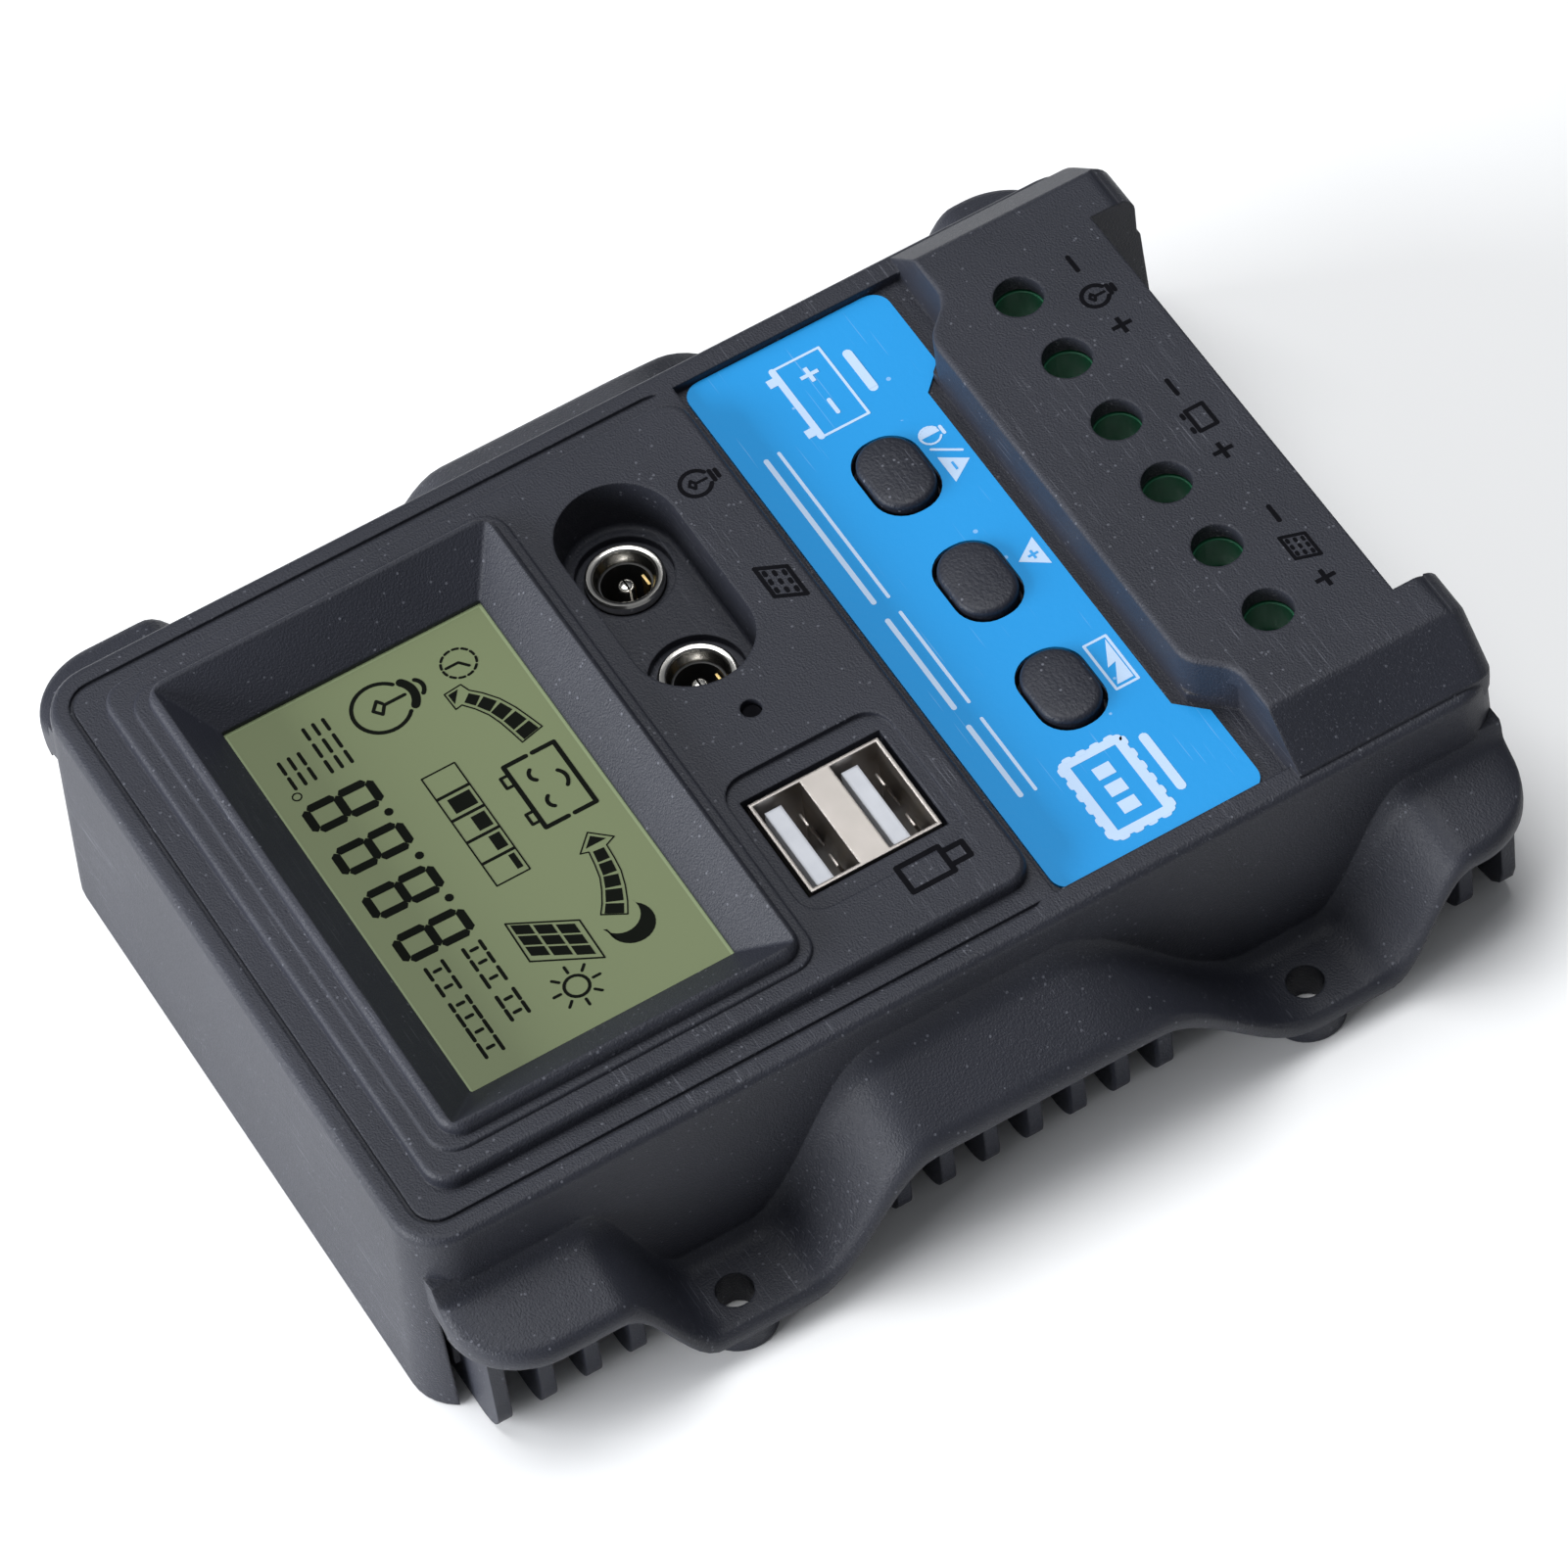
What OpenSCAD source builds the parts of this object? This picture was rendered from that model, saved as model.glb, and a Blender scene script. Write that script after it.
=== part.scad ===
// Wall-mounted solar charge controller: finned base, one-piece front case with a wavy
// mounting flange, display, three keys, two power jacks, a double USB socket and a
// six-way rising-cage terminal block. +Z points out of the front, +Y towards the display.

/* [Case] */
// Width of the case across its rim
case_w = 86.4; // [84:0.2:108]
// Length of the case over both end walls, at the base
case_l = 134; // [132:0.5:165]
// Height of the rim above the base plane
rim_z = 30; // [29:0.5:38]
// Thickness of the case walls
wall = 2.2; // [1.8:0.1:2.6]
// Corner radius of the case in plan
corner_r = 6; // [4:0.5:7]
// How far each end wall leans out from the rim to the base
end_draft = 1.4; // [0.5:0.1:2]

/* [Flange] */
// Reach of the mounting flange past the side walls
flange_out = 10.4; // [9.5:0.2:13]
// Thickness of the flange
flange_t = 3.2; // [2.6:0.1:3.4]
// Distance of the mounting holes from the side walls
hole_out = 5.8; // [5.2:0.1:6.4]
// Distance between the two mounting holes on one side
hole_pitch = 70; // [66:1:74]
// Diameter of the mounting holes
hole_d = 4.2; // [3.4:0.1:4.6]
// Diameter of the foot boss under each mounting hole
foot_d = 8.6; // [7:0.1:9]

/* [Base] */
// Number of cooling fins
fin_count = 24; // [16:1:26]
// Thickness of a fin
fin_t = 1.7; // [1.2:0.1:2.2]
// Reach of the fins past the side walls
fin_out = 5.3; // [3:0.1:6.5]
// Depth of the fins under the floor
fin_depth = 5; // [3:0.5:5]
// Thickness of the base floor
floor_t = 2; // [1.5:0.1:2.4]

/* [Front] */
// Height of the raised deck above the rim
deck_rise = 1.9; // [1:0.1:2.6]
// Height of the display bezel above the deck
bezel_rise = 2.1; // [1.2:0.1:2.6]
// Width of the display window
window_w = 55; // [44:0.5:56]
// Length of the display window along Y
window_l = 31.5; // [24:0.5:32]
// Width of the sloped bezel round the window
bezel_w = 6; // [4:0.1:6.4]
// Depth of the label recess below the rim
label_drop = 1.4; // [1:0.1:1.8]
// Thickness of the label
label_t = 0.4; // [0.2:0.05:0.6]

/* [Keys] */
// Width of a key along X
key_w = 10.2; // [7:0.1:12]
// Length of a key along Y
key_l = 7.2; // [6:0.1:9]
// Distance between keys
key_pitch = 17.1; // [14:0.1:18]
// Travel of a key
key_travel = 0.6; // [0.3:0.05:0.8]

/* [Sockets] */
// Distance between the two power jacks
jack_pitch = 16; // [15:0.1:17]
// Outer diameter of a jack's metal sleeve
jack_sleeve_d = 8.8; // [8:0.1:9.2]
// Bore of a jack's metal sleeve
jack_bore_d = 6.1; // [5.6:0.1:6.6]
// Diameter of a jack's centre pin
jack_pin_d = 2; // [1.3:0.1:2.5]
// Width of the USB shell along X
usb_w = 13.3; // [12.6:0.1:13.8]
// Length of the USB shell along Y, over both ports
usb_l = 15.8; // [15:0.1:16.4]

/* [Terminals] */
// Distance between terminals
pole_pitch = 10.16; // [9.6:0.02:10.4]
// Diameter of the screwdriver holes over the terminals
access_d = 5.6; // [5:0.1:6]
// Height of the terminal housing above the rim
housing_rise = 6; // [5:0.1:8]
// Diameter of a terminal screw's thread
screw_d = 3.8; // [3:0.1:4]
// Pitch of a terminal screw's thread, which its cage climbs in one turn
screw_pitch = 0.7; // [0.5:0.05:0.75]
// Turns from an open terminal to a closed one
screw_turns = 6; // [3:1:6]
// Height of the wire entry
entry_h = 5; // [4.4:0.1:5.4]

/* [Hidden] */

// Clearances that are shared by the pieces
gap = 0.3;
slip = 0.1;
fine = 0.05;
tiny = 0.01;
round_fn = 48;

// Case
half_w = case_w / 2;
half_l = case_l / 2;
inner_w = case_w - 2 * wall;
rim_l = case_l - 2 * end_draft;
end_in = half_l - end_draft - wall;
roof_z = rim_z + housing_rise;
recess_half = 3 * pole_pitch;
recess_y = -half_l + 7.3;
body_back_z = 24.6;

// Display cell
glass_w = window_w + 3;
glass_l = window_l + 3;
glass_t = 2.2;
backlight_t = 2.6;
frame_wall = 1;

// Deck, bezel and window
deck_z = rim_z + deck_rise;
bezel_z = deck_z + bezel_rise;
deck_half = half_w - 5.45;
deck_y1 = half_l - 6.9;
bezel_flat = 0.7;
bezel_half_w = window_w / 2 + bezel_w + bezel_flat - 0.2;
window_y = half_l - 32.05;
bezel_half_l = window_l / 2 + bezel_w - 0.4;
window_z = rim_z - 1.1;
glass_top = window_z - 0.6;
glass_z = glass_top - glass_t;
display_spot_y = glass_l / 2 + frame_wall + 2.15;
display_spot_x = 24;
key_spot_x = key_pitch / 2;
label_y1 = -half_l + 54.3;
label_y0 = -half_l + 29;
label_notch_y = label_y0 + 3;
label_half = half_w - 3.2;
deck_y0 = label_y1 + 1.4;
recess_z = rim_z - label_drop;
deck_under = deck_z - wall;
ceiling_z = rim_z - 2.2;
label_under = recess_z - 2;

// Terminal housing
housing_y1 = -half_l + 26.3;
bulge_y1 = housing_y1 + 4.1;
bulge_half = recess_half - 4.5;
housing_half = half_w - 7;
pole_y = -half_l + 19.5;
function pole_x(i) = (i - 2.5) * pole_pitch;

// Boards
floor_z = fin_depth + floor_t;
board_t = 1.6;
board_z = floor_z + 2.4;
board_top = board_z + board_t;
board_half = half_w - 11;
board_y0 = recess_y + 2.7;
board_y1 = half_l - 9;
front_board_z = rim_z - 8.4;
front_board_top = front_board_z + board_t;
key_board_z = rim_z - 11.2;
key_board_top = key_board_z + board_t;
key_y = label_y1 - 13.7;
key_board_w = 2 * key_pitch + 18;
key_board_l = 12.6;
key_x0 = -0.35;
keys_x = [key_x0 + key_pitch, key_x0, key_x0 - key_pitch];
front_screw_r = 0.9;
display_spots = [
    for (x = [-1, 1], y = [-1, 1]) [x * display_spot_x, window_y + y * display_spot_y]
];
key_spots = [for (x = [-1, 1]) [key_x0 + x * key_spot_x, key_y]];

// Sockets
socket_y = label_y1 + 16.1;
jack_x0 = 16.7;
jacks_x = [jack_x0 - jack_pitch / 2, jack_x0 + jack_pitch / 2];
jack_recess_r = 6.9;
jack_floor_z = deck_z - 7.5;
jack_wall = 1.6;
usb_x = -20.05;
usb_y = label_y1 + 14.2;
usb_top = rim_z + 1;
usb_skin = 0.4;
usb_port = 5.7;
usb_mid = usb_l - 2 * usb_port - 2 * usb_skin;
tongue_t = 2;
light_x = -3.3;
light_y = label_y1 + 15.7;

// Terminal block and its mechanism, from the board up
block_y0 = recess_y + wall + 0.2;
block_y1 = -half_l + 26;
block_top = roof_z - wall - 0.4;
cage_w = 7.4;
cage_l = 8;
cage_wall = 1;
cage_z = board_top + 1.2;
cage_nut_t = 2.2;
bar_t = 1;
bar_z = cage_z + cage_wall + entry_h - 0.4;
cage_h = 2 * cage_wall + entry_h + 2.2;
cage_travel = screw_pitch * screw_turns;
ledge_z = cage_z + cage_h + cage_travel + 0.2;
ledge_t = 0.9;
screw_head_z = ledge_z + ledge_t + 0.2;
screw_head_t = 1.8;
screw_head_d = access_d - 0.6;

// Board screws, over the standoffs of the base
board_spots = [
    [28, half_l - 14], [-28, half_l - 14], [28, label_y1 - 14], [-28, label_y1 - 14]
];

// Heat spreader and its transistors, just behind the terminal block
spreader_half = 24;
spreader_t = 2;
spreader_y1 = block_y1 + 3.1;
spreader_foot_y = spreader_y1 + 11;
pad_t = 0.4;
spreader_foot_t = 1.6;
spreader_top = label_under - 0.4;
fet_pitch = 12;
fets_x = [for (i = [0 : 3]) (i - 1.5) * fet_pitch];
fet_hole_z = spreader_top - 2.4;

// Case screws, in the corners outside the boards
boss_r = 3;
screw_spots = [
    [half_w - 7.6, half_l - 9], [-half_w + 7.6, half_l - 9],
    [half_w - 7.6, -half_l + 15], [-half_w + 7.6, -half_l + 15]
];
boss_foot_z = floor_z;
case_screw_r = 1.45;
case_screw_seat = fin_depth - 0.6;
case_screw_l = 12;

// Mounting holes
hole_x = half_w + hole_out;
hole_mid_y = -0.7;
holes_y = [hole_mid_y + hole_pitch / 2, hole_mid_y - hole_pitch / 2];

// The wave of the flange: a smooth step between two levels
function step(y, y0, y1, z0, z1) =
    z0 + (z1 - z0) * (1 - cos(180 * max(0, min(1, (y - y0) / (y1 - y0))))) / 2;
low_z = 5.2;
lobe_z = rim_z - 9;
mid_lobe_z = rim_z - 5.6;
lip_z = rim_z - 11;
// How deep the flange dips at Y, from 0 on a lobe to 1 at a mounting hole
function dip(y, y0, y1, y2, y3) = min(step(y, y0, y1, 0, 1), step(y, y2, y3, 1, 0));
function lobe(y, outer, middle) = y > holes_y[0] || y < holes_y[1] ? outer : middle;
// Height of the flange's top where it meets the side wall
function root_dip(y) = max(
    dip(y, holes_y[0] - 22, holes_y[0] - 5, holes_y[0] + 3, holes_y[0] + 13),
    dip(y, holes_y[1] - 17, holes_y[1] - 4.5, holes_y[1] + 3.5, holes_y[1] + 27));
function root_z(y) =
    let (top = lobe(y, lobe_z, mid_lobe_z)) top + (low_z - top) * root_dip(y);
// Height of the flange's top at its outer lip
function edge_dip(y) = max(
    dip(y, holes_y[0] - 23, holes_y[0] - 7, holes_y[0] + 4, holes_y[0] + 14.5),
    dip(y, holes_y[1] - 18.5, holes_y[1] - 8, holes_y[1] + 1, holes_y[1] + 20));
function edge_z(y) = lip_z + (low_z - lip_z) * edge_dip(y);
// Reach of the flange, rounded off at both ends
flange_end_r = 9;
flange_y1 = half_l - 2.4;
flange_y0 = -half_l + 2.4;
function end_cut(y) =
    let (d = max(0, y - (flange_y1 - flange_end_r), (flange_y0 + flange_end_r) - y))
    flange_end_r - sqrt(max(0, pow(flange_end_r, 2) - d * d));
function reach(y) = half_w + max(0.6, flange_out - end_cut(y));
wave_steps = 60;
fin_margin = 5.4;
fin_pitch = (case_l - 2 * fin_margin) / (fin_count - 1);
fin_corner = 4.5;
function fin_y(i) = half_l - fin_margin - i * fin_pitch;
// Top of a fin at Y: under the flange from the wall to the fin's outer edge, less a clearance
function fin_part(y) = min(1, fin_out / (reach(y) - half_w));
function fin_top(y) =
    min([for (d = [-1.4, -0.7, 0, 0.7, 1.4])
        min(root_z(y + d), root_z(y + d) + fin_part(y + d) * (edge_z(y + d) - root_z(y + d)))])
    - flange_t - 0.5;

// ---- Shared shapes ----

module rounded_plate(w, l, r, h) {
    linear_extrude(h) union() {
        square([w - 2 * r, l], center = true);
        square([w, l - 2 * r], center = true);
        for (x = [-1, 1], y = [-1, 1])
            translate([x * (w / 2 - r), y * (l / 2 - r)]) circle(r = r, $fn = round_fn);
    }
}

module slot_plate(x0, x1, r, h) {
    linear_extrude(h) union() {
        translate([x0, -r]) square([x1 - x0, 2 * r]);
        translate([x0, 0]) circle(r = r, $fn = round_fn);
        translate([x1, 0]) circle(r = r, $fn = round_fn);
    }
}

module box(x0, x1, y0, y1, z0, z1) {
    translate([x0, y0, z0]) cube([x1 - x0, y1 - y0, z1 - z0]);
}

module rod(x, y, z0, z1, r) {
    translate([x, y, z0]) cylinder(h = z1 - z0, r = r, $fn = round_fn);
}

// Extrudes an outline drawn in Y and Z along X
module along_x(x0, x1) {
    translate([x0, 0, 0]) rotate([90, 0, 90]) linear_extrude(x1 - x0) children();
}

// Extrudes an outline drawn in X and Z along Y
module along_y(y0, y1) {
    translate([0, y1, 0]) rotate([90, 0, 0]) linear_extrude(y1 - y0) children();
}

// ---- Case ----

// The wavy flange of one side, as rings of four points along Y
module side_flange() {
    x_in = half_w - 1.2;
    rings = [for (k = [0 : wave_steps])
        let (y = flange_y0 + (flange_y1 - flange_y0) * k / wave_steps,
             zi = root_z(y), xo = reach(y), ze = xo < half_w + 3 ? zi : edge_z(y))
        [[x_in, y, zi], [xo, y, ze], [xo, y, ze - flange_t], [x_in, y, zi - flange_t]]];
    n = 4;
    polyhedron(
        points = [for (ring = rings, p = ring) p],
        faces = concat(
            [[for (j = [0 : n - 1]) j]],
            [[for (j = [n - 1 : -1 : 0]) wave_steps * n + j]],
            [for (k = [0 : wave_steps - 1], j = [0 : n - 1])
                let (a = k * n + j, b = k * n + (j + 1) % n)
                [a, b + n, b]],
            [for (k = [0 : wave_steps - 1], j = [0 : n - 1])
                let (a = k * n + j, b = k * n + (j + 1) % n)
                [a, a + n, b + n]]
        ),
        convexity = 8
    );
}

// Everything below the flange on one side, taken out of the side wall
module under_flange() {
    y0 = flange_y0 + 0.5;
    y1 = flange_y1 - 0.5;
    along_x(half_w - wall - 1, half_w + 5) polygon(concat(
        [[y1, -1], [y0, -1]],
        [for (k = [0 : wave_steps]) let (y = y0 + (y1 - y0) * k / wave_steps)
            [y, root_z(y) - flange_t / 2]]
    ));
}

// Outer form of the body: leaning end walls and round corners
module body_form() {
    intersection() {
        rounded_plate(case_w, case_l, corner_r, rim_z);
        along_x(-half_w - 1, half_w + 1)
            polygon([[-half_l, -1], [half_l, -1], [half_l, 0], [rim_l / 2, rim_z + tiny],
                     [-rim_l / 2, rim_z + tiny], [-half_l, 0]]);
    }
}

module housing_form() {
    along_y(-half_l + 3.4, housing_y1)
        polygon([[-half_w + 1.2, rim_z - 3], [half_w - 1.2, rim_z - 3],
                 [half_w - 1.2, rim_z + 0.5], [housing_half, roof_z],
                 [-housing_half, roof_z], [-half_w + 1.2, rim_z + 0.5]]);
    translate([0, 0, rim_z - 3]) linear_extrude(housing_rise + 3)
        polygon([[-bulge_half - 4, housing_y1 - 1], [-bulge_half - 4, housing_y1],
                 [-bulge_half, bulge_y1], [bulge_half, bulge_y1],
                 [bulge_half + 4, housing_y1], [bulge_half + 4, housing_y1 - 1]]);
}

module bezel_pit() {
    hull() {
        translate([0, 0, bezel_z + tiny])
            rounded_plate(2 * bezel_half_w - 2 * bezel_flat, 2 * bezel_half_l - 2 * bezel_flat, 0.5, tiny);
        translate([0, 0, window_z]) rounded_plate(window_w, window_l, 0.5, tiny);
    }
}

module label_outline(shrink) {
    e = shrink;
    translate([0, 0, 0]) polygon([
        [-label_half + e, label_y1 - e], [label_half - e, label_y1 - e],
        [label_half - e, label_y0 + e], [bulge_half + 3.6, label_y0 + e],
        [bulge_half + 0.6, label_notch_y + e], [-bulge_half - 0.6, label_notch_y + e],
        [-bulge_half - 3.6, label_y0 + e], [-label_half + e, label_y0 + e]
    ]);
}

module case_solid() {
    difference() {
        body_form();
        under_flange();
        mirror([1, 0, 0]) under_flange();
    }
    side_flange();
    mirror([1, 0, 0]) side_flange();
    for (x = [-hole_x, hole_x], y = holes_y) rod(x, y, 0, low_z - 1, foot_d / 2);
    translate([0, (deck_y0 + deck_y1) / 2, rim_z - 1])
        rounded_plate(2 * deck_half, deck_y1 - deck_y0, 3, deck_rise + 1);
    translate([0, window_y, deck_z - 1])
        rounded_plate(2 * bezel_half_w, 2 * bezel_half_l, 2.5, bezel_rise + 1);
    housing_form();
}

// The space inside the case, in steps that follow the front
module case_hollow() {
    main_y0 = recess_y + wall;
    box(-inner_w / 2, inner_w / 2, main_y0, end_in, -1, label_under);
    box(-inner_w / 2 + 2, inner_w / 2 - 2, deck_y0 + 1.5, end_in - 2, label_under - 1, ceiling_z);
    box(-deck_half + 2, deck_half - 2, deck_y0 + 2.5, window_y - bezel_half_l - 1,
        ceiling_z - 1, deck_under);
    box(-housing_half + 2, housing_half - 2, main_y0, housing_y1 - 2, label_under - 1,
        roof_z - wall);
    box(-bulge_half + 1, bulge_half - 1, housing_y1 - 3, bulge_y1 - 2, label_under - 1,
        roof_z - wall);
}

module jack_pocket(grow) {
    translate([0, socket_y, 0]) slot_plate(jacks_x[0], jacks_x[1], jack_recess_r + grow, 40);
}

module case_bosses() {
    for (p = screw_spots) rod(p[0], p[1], boss_foot_z, ceiling_z + 0.5, boss_r);
    for (p = display_spots) rod(p[0], p[1], front_board_top, ceiling_z + 1, 2);
    for (p = key_spots) rod(p[0], p[1], key_board_top, label_under + 1, 2);
    rod(light_x, light_y, deck_under - 5, deck_under + 1, 2);
}

module upper_case() {
    color([0.23, 0.235, 0.265]) difference() {
        union() {
            difference() {
                case_solid();
                case_hollow();
            }
            case_bosses();
            // The last fin stands on the cheeks, past the end of the back cover
            along_y(fin_y(fin_count - 1) - fin_t / 2, fin_y(fin_count - 1) + fin_t / 2)
                fin_outline(fin_top(fin_y(fin_count - 1)));
            intersection() {
                jack_pocket(jack_wall);
                box(-half_w, half_w, -half_l, half_l, jack_floor_z - jack_wall, deck_z - tiny);
            }
        }
        // Wiring recess between the cheeks
        box(-recess_half, recess_half, -half_l - 1, recess_y, -1, roof_z + 1);
        // Wire entries
        for (i = [0 : 5])
            box(pole_x(i) - 3.7, pole_x(i) + 3.7, recess_y - 1, recess_y + wall + 1,
                cage_z + 0.4, cage_z + entry_h + 2.2);
        for (i = [0 : 5]) rod(pole_x(i), pole_y, roof_z - wall - 1, roof_z + 1, access_d / 2);
        // Display window
        translate([0, window_y, 0]) bezel_pit();
        box(-window_w / 2, window_w / 2, window_y - window_l / 2, window_y + window_l / 2,
            ceiling_z - 1, window_z + tiny);
        // Glass seat, which follows the glass
        box(-glass_w / 2 - slip, glass_w / 2 + slip, window_y - glass_l / 2 - slip,
            window_y + glass_l / 2 + slip, ceiling_z - 1, glass_top + fine);
        // Label recess
        translate([0, 0, recess_z]) linear_extrude(rim_z)
            polygon([[-label_half - slip, label_y1 + 0.7], [label_half + slip, label_y1 + 0.7],
                     [label_half + slip, housing_y1], [bulge_half + 4, housing_y1],
                     [bulge_half, bulge_y1], [-bulge_half, bulge_y1],
                     [-bulge_half - 4, housing_y1], [-label_half - slip, housing_y1]]);
        for (x = keys_x) translate([x, key_y, label_under - 1])
            rounded_plate(key_w + 2 * gap, key_l + 2 * gap, 3.2, 6);
        // Jack recess, with a seat and a hole for each jack
        translate([0, 0, jack_floor_z]) jack_pocket(0);
        for (x = jacks_x) {
            rod(x, socket_y, jack_floor_z - 1, jack_floor_z + 1, jack_sleeve_d / 2 + 1.2);
            rod(x, socket_y, jack_floor_z - 3, jack_floor_z + 1, jack_sleeve_d / 2 + 0.15);
        }
        // USB opening in a shallow dish
        translate([usb_x, usb_y, deck_z - 0.8]) rounded_plate(usb_w + 6.4, usb_l + 4, 3, 3);
        box(usb_x - usb_w / 2 - slip, usb_x + usb_w / 2 + slip,
            usb_y - usb_l / 2 - slip, usb_y + usb_l / 2 + slip, ceiling_z - 3, deck_z + 1);
        rod(light_x, light_y, deck_under - 6, deck_z + 1, 1.1);
        // Groove between the rim and the shelf
        for (s = [-1, 1])
            box(s * (half_w - 2.7) - 0.2, s * (half_w - 2.7) + 0.2, label_y1 - 1, half_l - 12,
                rim_z - 0.4, rim_z + 1);
        // Screw holes
        for (x = [-hole_x, hole_x], y = holes_y) rod(x, y, -1, low_z + 8, hole_d / 2);
        for (p = screw_spots) rod(p[0], p[1], boss_foot_z - 1, boss_foot_z + 11, case_screw_r);
        for (p = display_spots)
            rod(p[0], p[1], front_board_top - 1, front_board_top + 3.8, front_screw_r + fine);
        for (p = key_spots)
            rod(p[0], p[1], key_board_top - 1, key_board_top + 3.8, front_screw_r + fine);
    }
}

// One cooling fin in X and Z: full width below the floor, and up beside the walls
module fin_outline(top) {
    out = half_w + fin_out;
    side_in = inner_w / 2 - gap - 1;
    if (top > fin_depth + 1) {
        translate([-out + fin_corner, 0]) square([2 * (out - fin_corner), fin_depth + 0.5]);
        for (s = [-1, 1]) mirror([s < 0 ? 1 : 0, 0]) {
            translate([side_in, 0]) square([out - fin_corner - side_in, top]);
            translate([side_in, fin_corner]) square([out - side_in, top - fin_corner]);
            translate([out - fin_corner, fin_corner]) circle(r = fin_corner, $fn = round_fn);
        }
    } else {
        translate([-inner_w / 2 + gap, 0]) square([inner_w - 2 * gap, fin_depth + 0.5]);
    }
}

module back_cover() {
    y0 = recess_y + wall + gap;
    y1 = end_in - gap;
    x1 = inner_w / 2 - gap;
    side_top = rim_z - 7;
    color([0.27, 0.28, 0.315]) difference() {
        union() {
            box(-x1, x1, y0, y1, fin_depth, floor_z);
            for (s = [0, 1]) mirror([s, 0, 0]) box(x1 - 1.8, x1, y0, y1, fin_depth, side_top);
            for (i = [0 : fin_count - 1])
                if (fin_y(i) - fin_t / 2 > y0 - 4)
                    along_y(max(fin_y(i) - fin_t / 2, y0), fin_y(i) + fin_t / 2)
                        fin_outline(fin_top(fin_y(i)));
            for (p = board_spots) rod(p[0], p[1], floor_z - tiny, board_z, 3);
        }
        for (p = screw_spots) {
            rod(p[0], p[1], -1, floor_z + 1, case_screw_r + 0.2);
            rod(p[0], p[1], -1, case_screw_seat, 3.2);
        }
        for (p = board_spots) rod(p[0], p[1], floor_z - 1, board_z + 1, 1.3);
    }
}

module pan_screw(r_head, t_head, r, length) {
    difference() {
        union() {
            cylinder(h = t_head, r = r_head, $fn = round_fn);
            translate([0, 0, -length]) cylinder(h = length + tiny, r = r, $fn = round_fn);
        }
        for (a = [0, 90]) rotate(a)
            translate([-r_head * 0.6, -0.35, t_head * 0.5]) cube([r_head * 1.2, 0.7, t_head]);
    }
}

module case_screws() {
    color([0.35, 0.35, 0.37])
        for (p = screw_spots) translate([p[0], p[1], case_screw_seat]) rotate([180, 0, 0])
            pan_screw(2.8, 1.8, case_screw_r - fine, case_screw_l);
}

// ---- Front ----

module label_overlay() {
    color([0.24, 0.63, 0.91]) translate([0, 0, recess_z]) linear_extrude(label_t)
        difference() {
            label_outline(0);
            for (x = keys_x) translate([x - key_w / 2 - gap, key_y - key_l / 2 - gap])
                square([key_w + 2 * gap, key_l + 2 * gap]);
        }
}

module lcd_glass() {
    color([0.49, 0.53, 0.41]) box(-glass_w / 2, glass_w / 2, window_y - glass_l / 2,
        window_y + glass_l / 2, glass_z, glass_top);
}

module lcd_backlight() {
    color([0.9, 0.92, 0.85]) box(-window_w / 2 - 1, window_w / 2 + 1,
        window_y - window_l / 2, window_y + window_l / 2, glass_z - backlight_t, glass_z);
}

module lcd_frame() {
    w = glass_w + 2 * slip;
    l = glass_l + 2 * slip;
    color([0.12, 0.12, 0.13]) difference() {
        box(-w / 2 - frame_wall, w / 2 + frame_wall, window_y - l / 2 - frame_wall,
            window_y + l / 2 + frame_wall, front_board_top, ceiling_z - 0.2);
        box(-w / 2, w / 2, window_y - l / 2, window_y + l / 2, front_board_top - 1, rim_z);
    }
}

module lcd_pins() {
    count = 18;
    color([0.75, 0.7, 0.5]) for (i = [0 : count - 1])
        translate([(i - (count - 1) / 2) * 2.54 - 0.25, window_y + glass_l / 2 - 0.7,
                   front_board_top])
            cube([0.5, 0.3, glass_z - front_board_top]);
}

module display_board() {
    l = 2 * display_spot_y + 4;
    color([0.07, 0.3, 0.16]) difference() {
        box(-glass_w / 2 - 2, glass_w / 2 + 2, window_y - l / 2, window_y + l / 2,
            front_board_z, front_board_top);
        for (p = display_spots) rod(p[0], p[1], front_board_z - 1, rim_z, front_screw_r + 0.2);
    }
}

module key_board() {
    color([0.07, 0.3, 0.16]) difference() {
        box(key_x0 - key_board_w / 2, key_x0 + key_board_w / 2, key_y - key_board_l / 2,
            key_y + key_board_l / 2, key_board_z, key_board_top);
        for (p = key_spots) rod(p[0], p[1], key_board_z - 1, rim_z, front_screw_r + 0.2);
    }
}

module front_board_screws() {
    color([0.75, 0.75, 0.77]) {
        for (p = display_spots) translate([p[0], p[1], front_board_z]) rotate([180, 0, 0])
            pan_screw(1.8, 1.2, front_screw_r, 4.6);
        for (p = key_spots) translate([p[0], p[1], key_board_z]) rotate([180, 0, 0])
            pan_screw(1.8, 1.2, front_screw_r, 4.6);
    }
}

// A row of header pins in their strip, between two boards
module pin_header(x, y, count, z1) {
    w = count * 2.54;
    box(x - w / 2, x + w / 2, y - 1.25, y + 1.25, board_top, board_top + 2.5);
    for (i = [0 : count - 1])
        translate([x - w / 2 + 1.27 + i * 2.54 - 0.32, y - 0.32, board_top + 2.4])
            cube([0.64, 0.64, z1 - board_top - 2.4]);
}

module display_header() {
    color([0.1, 0.1, 0.11]) pin_header(0, window_y + window_l / 2 + 2, 14, front_board_z);
}

module key_header() {
    color([0.1, 0.1, 0.11]) pin_header(key_x0 + key_pitch, key_y + 4.4, 4, key_board_z);
}

switch_h = 3.5;
plunger_r = 1.65;
plunger_rise = 1;
switch_top = key_board_top + switch_h;
cap_foot_z = switch_top + plunger_rise;
key_top = recess_z + label_t + 1.1;

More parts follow.
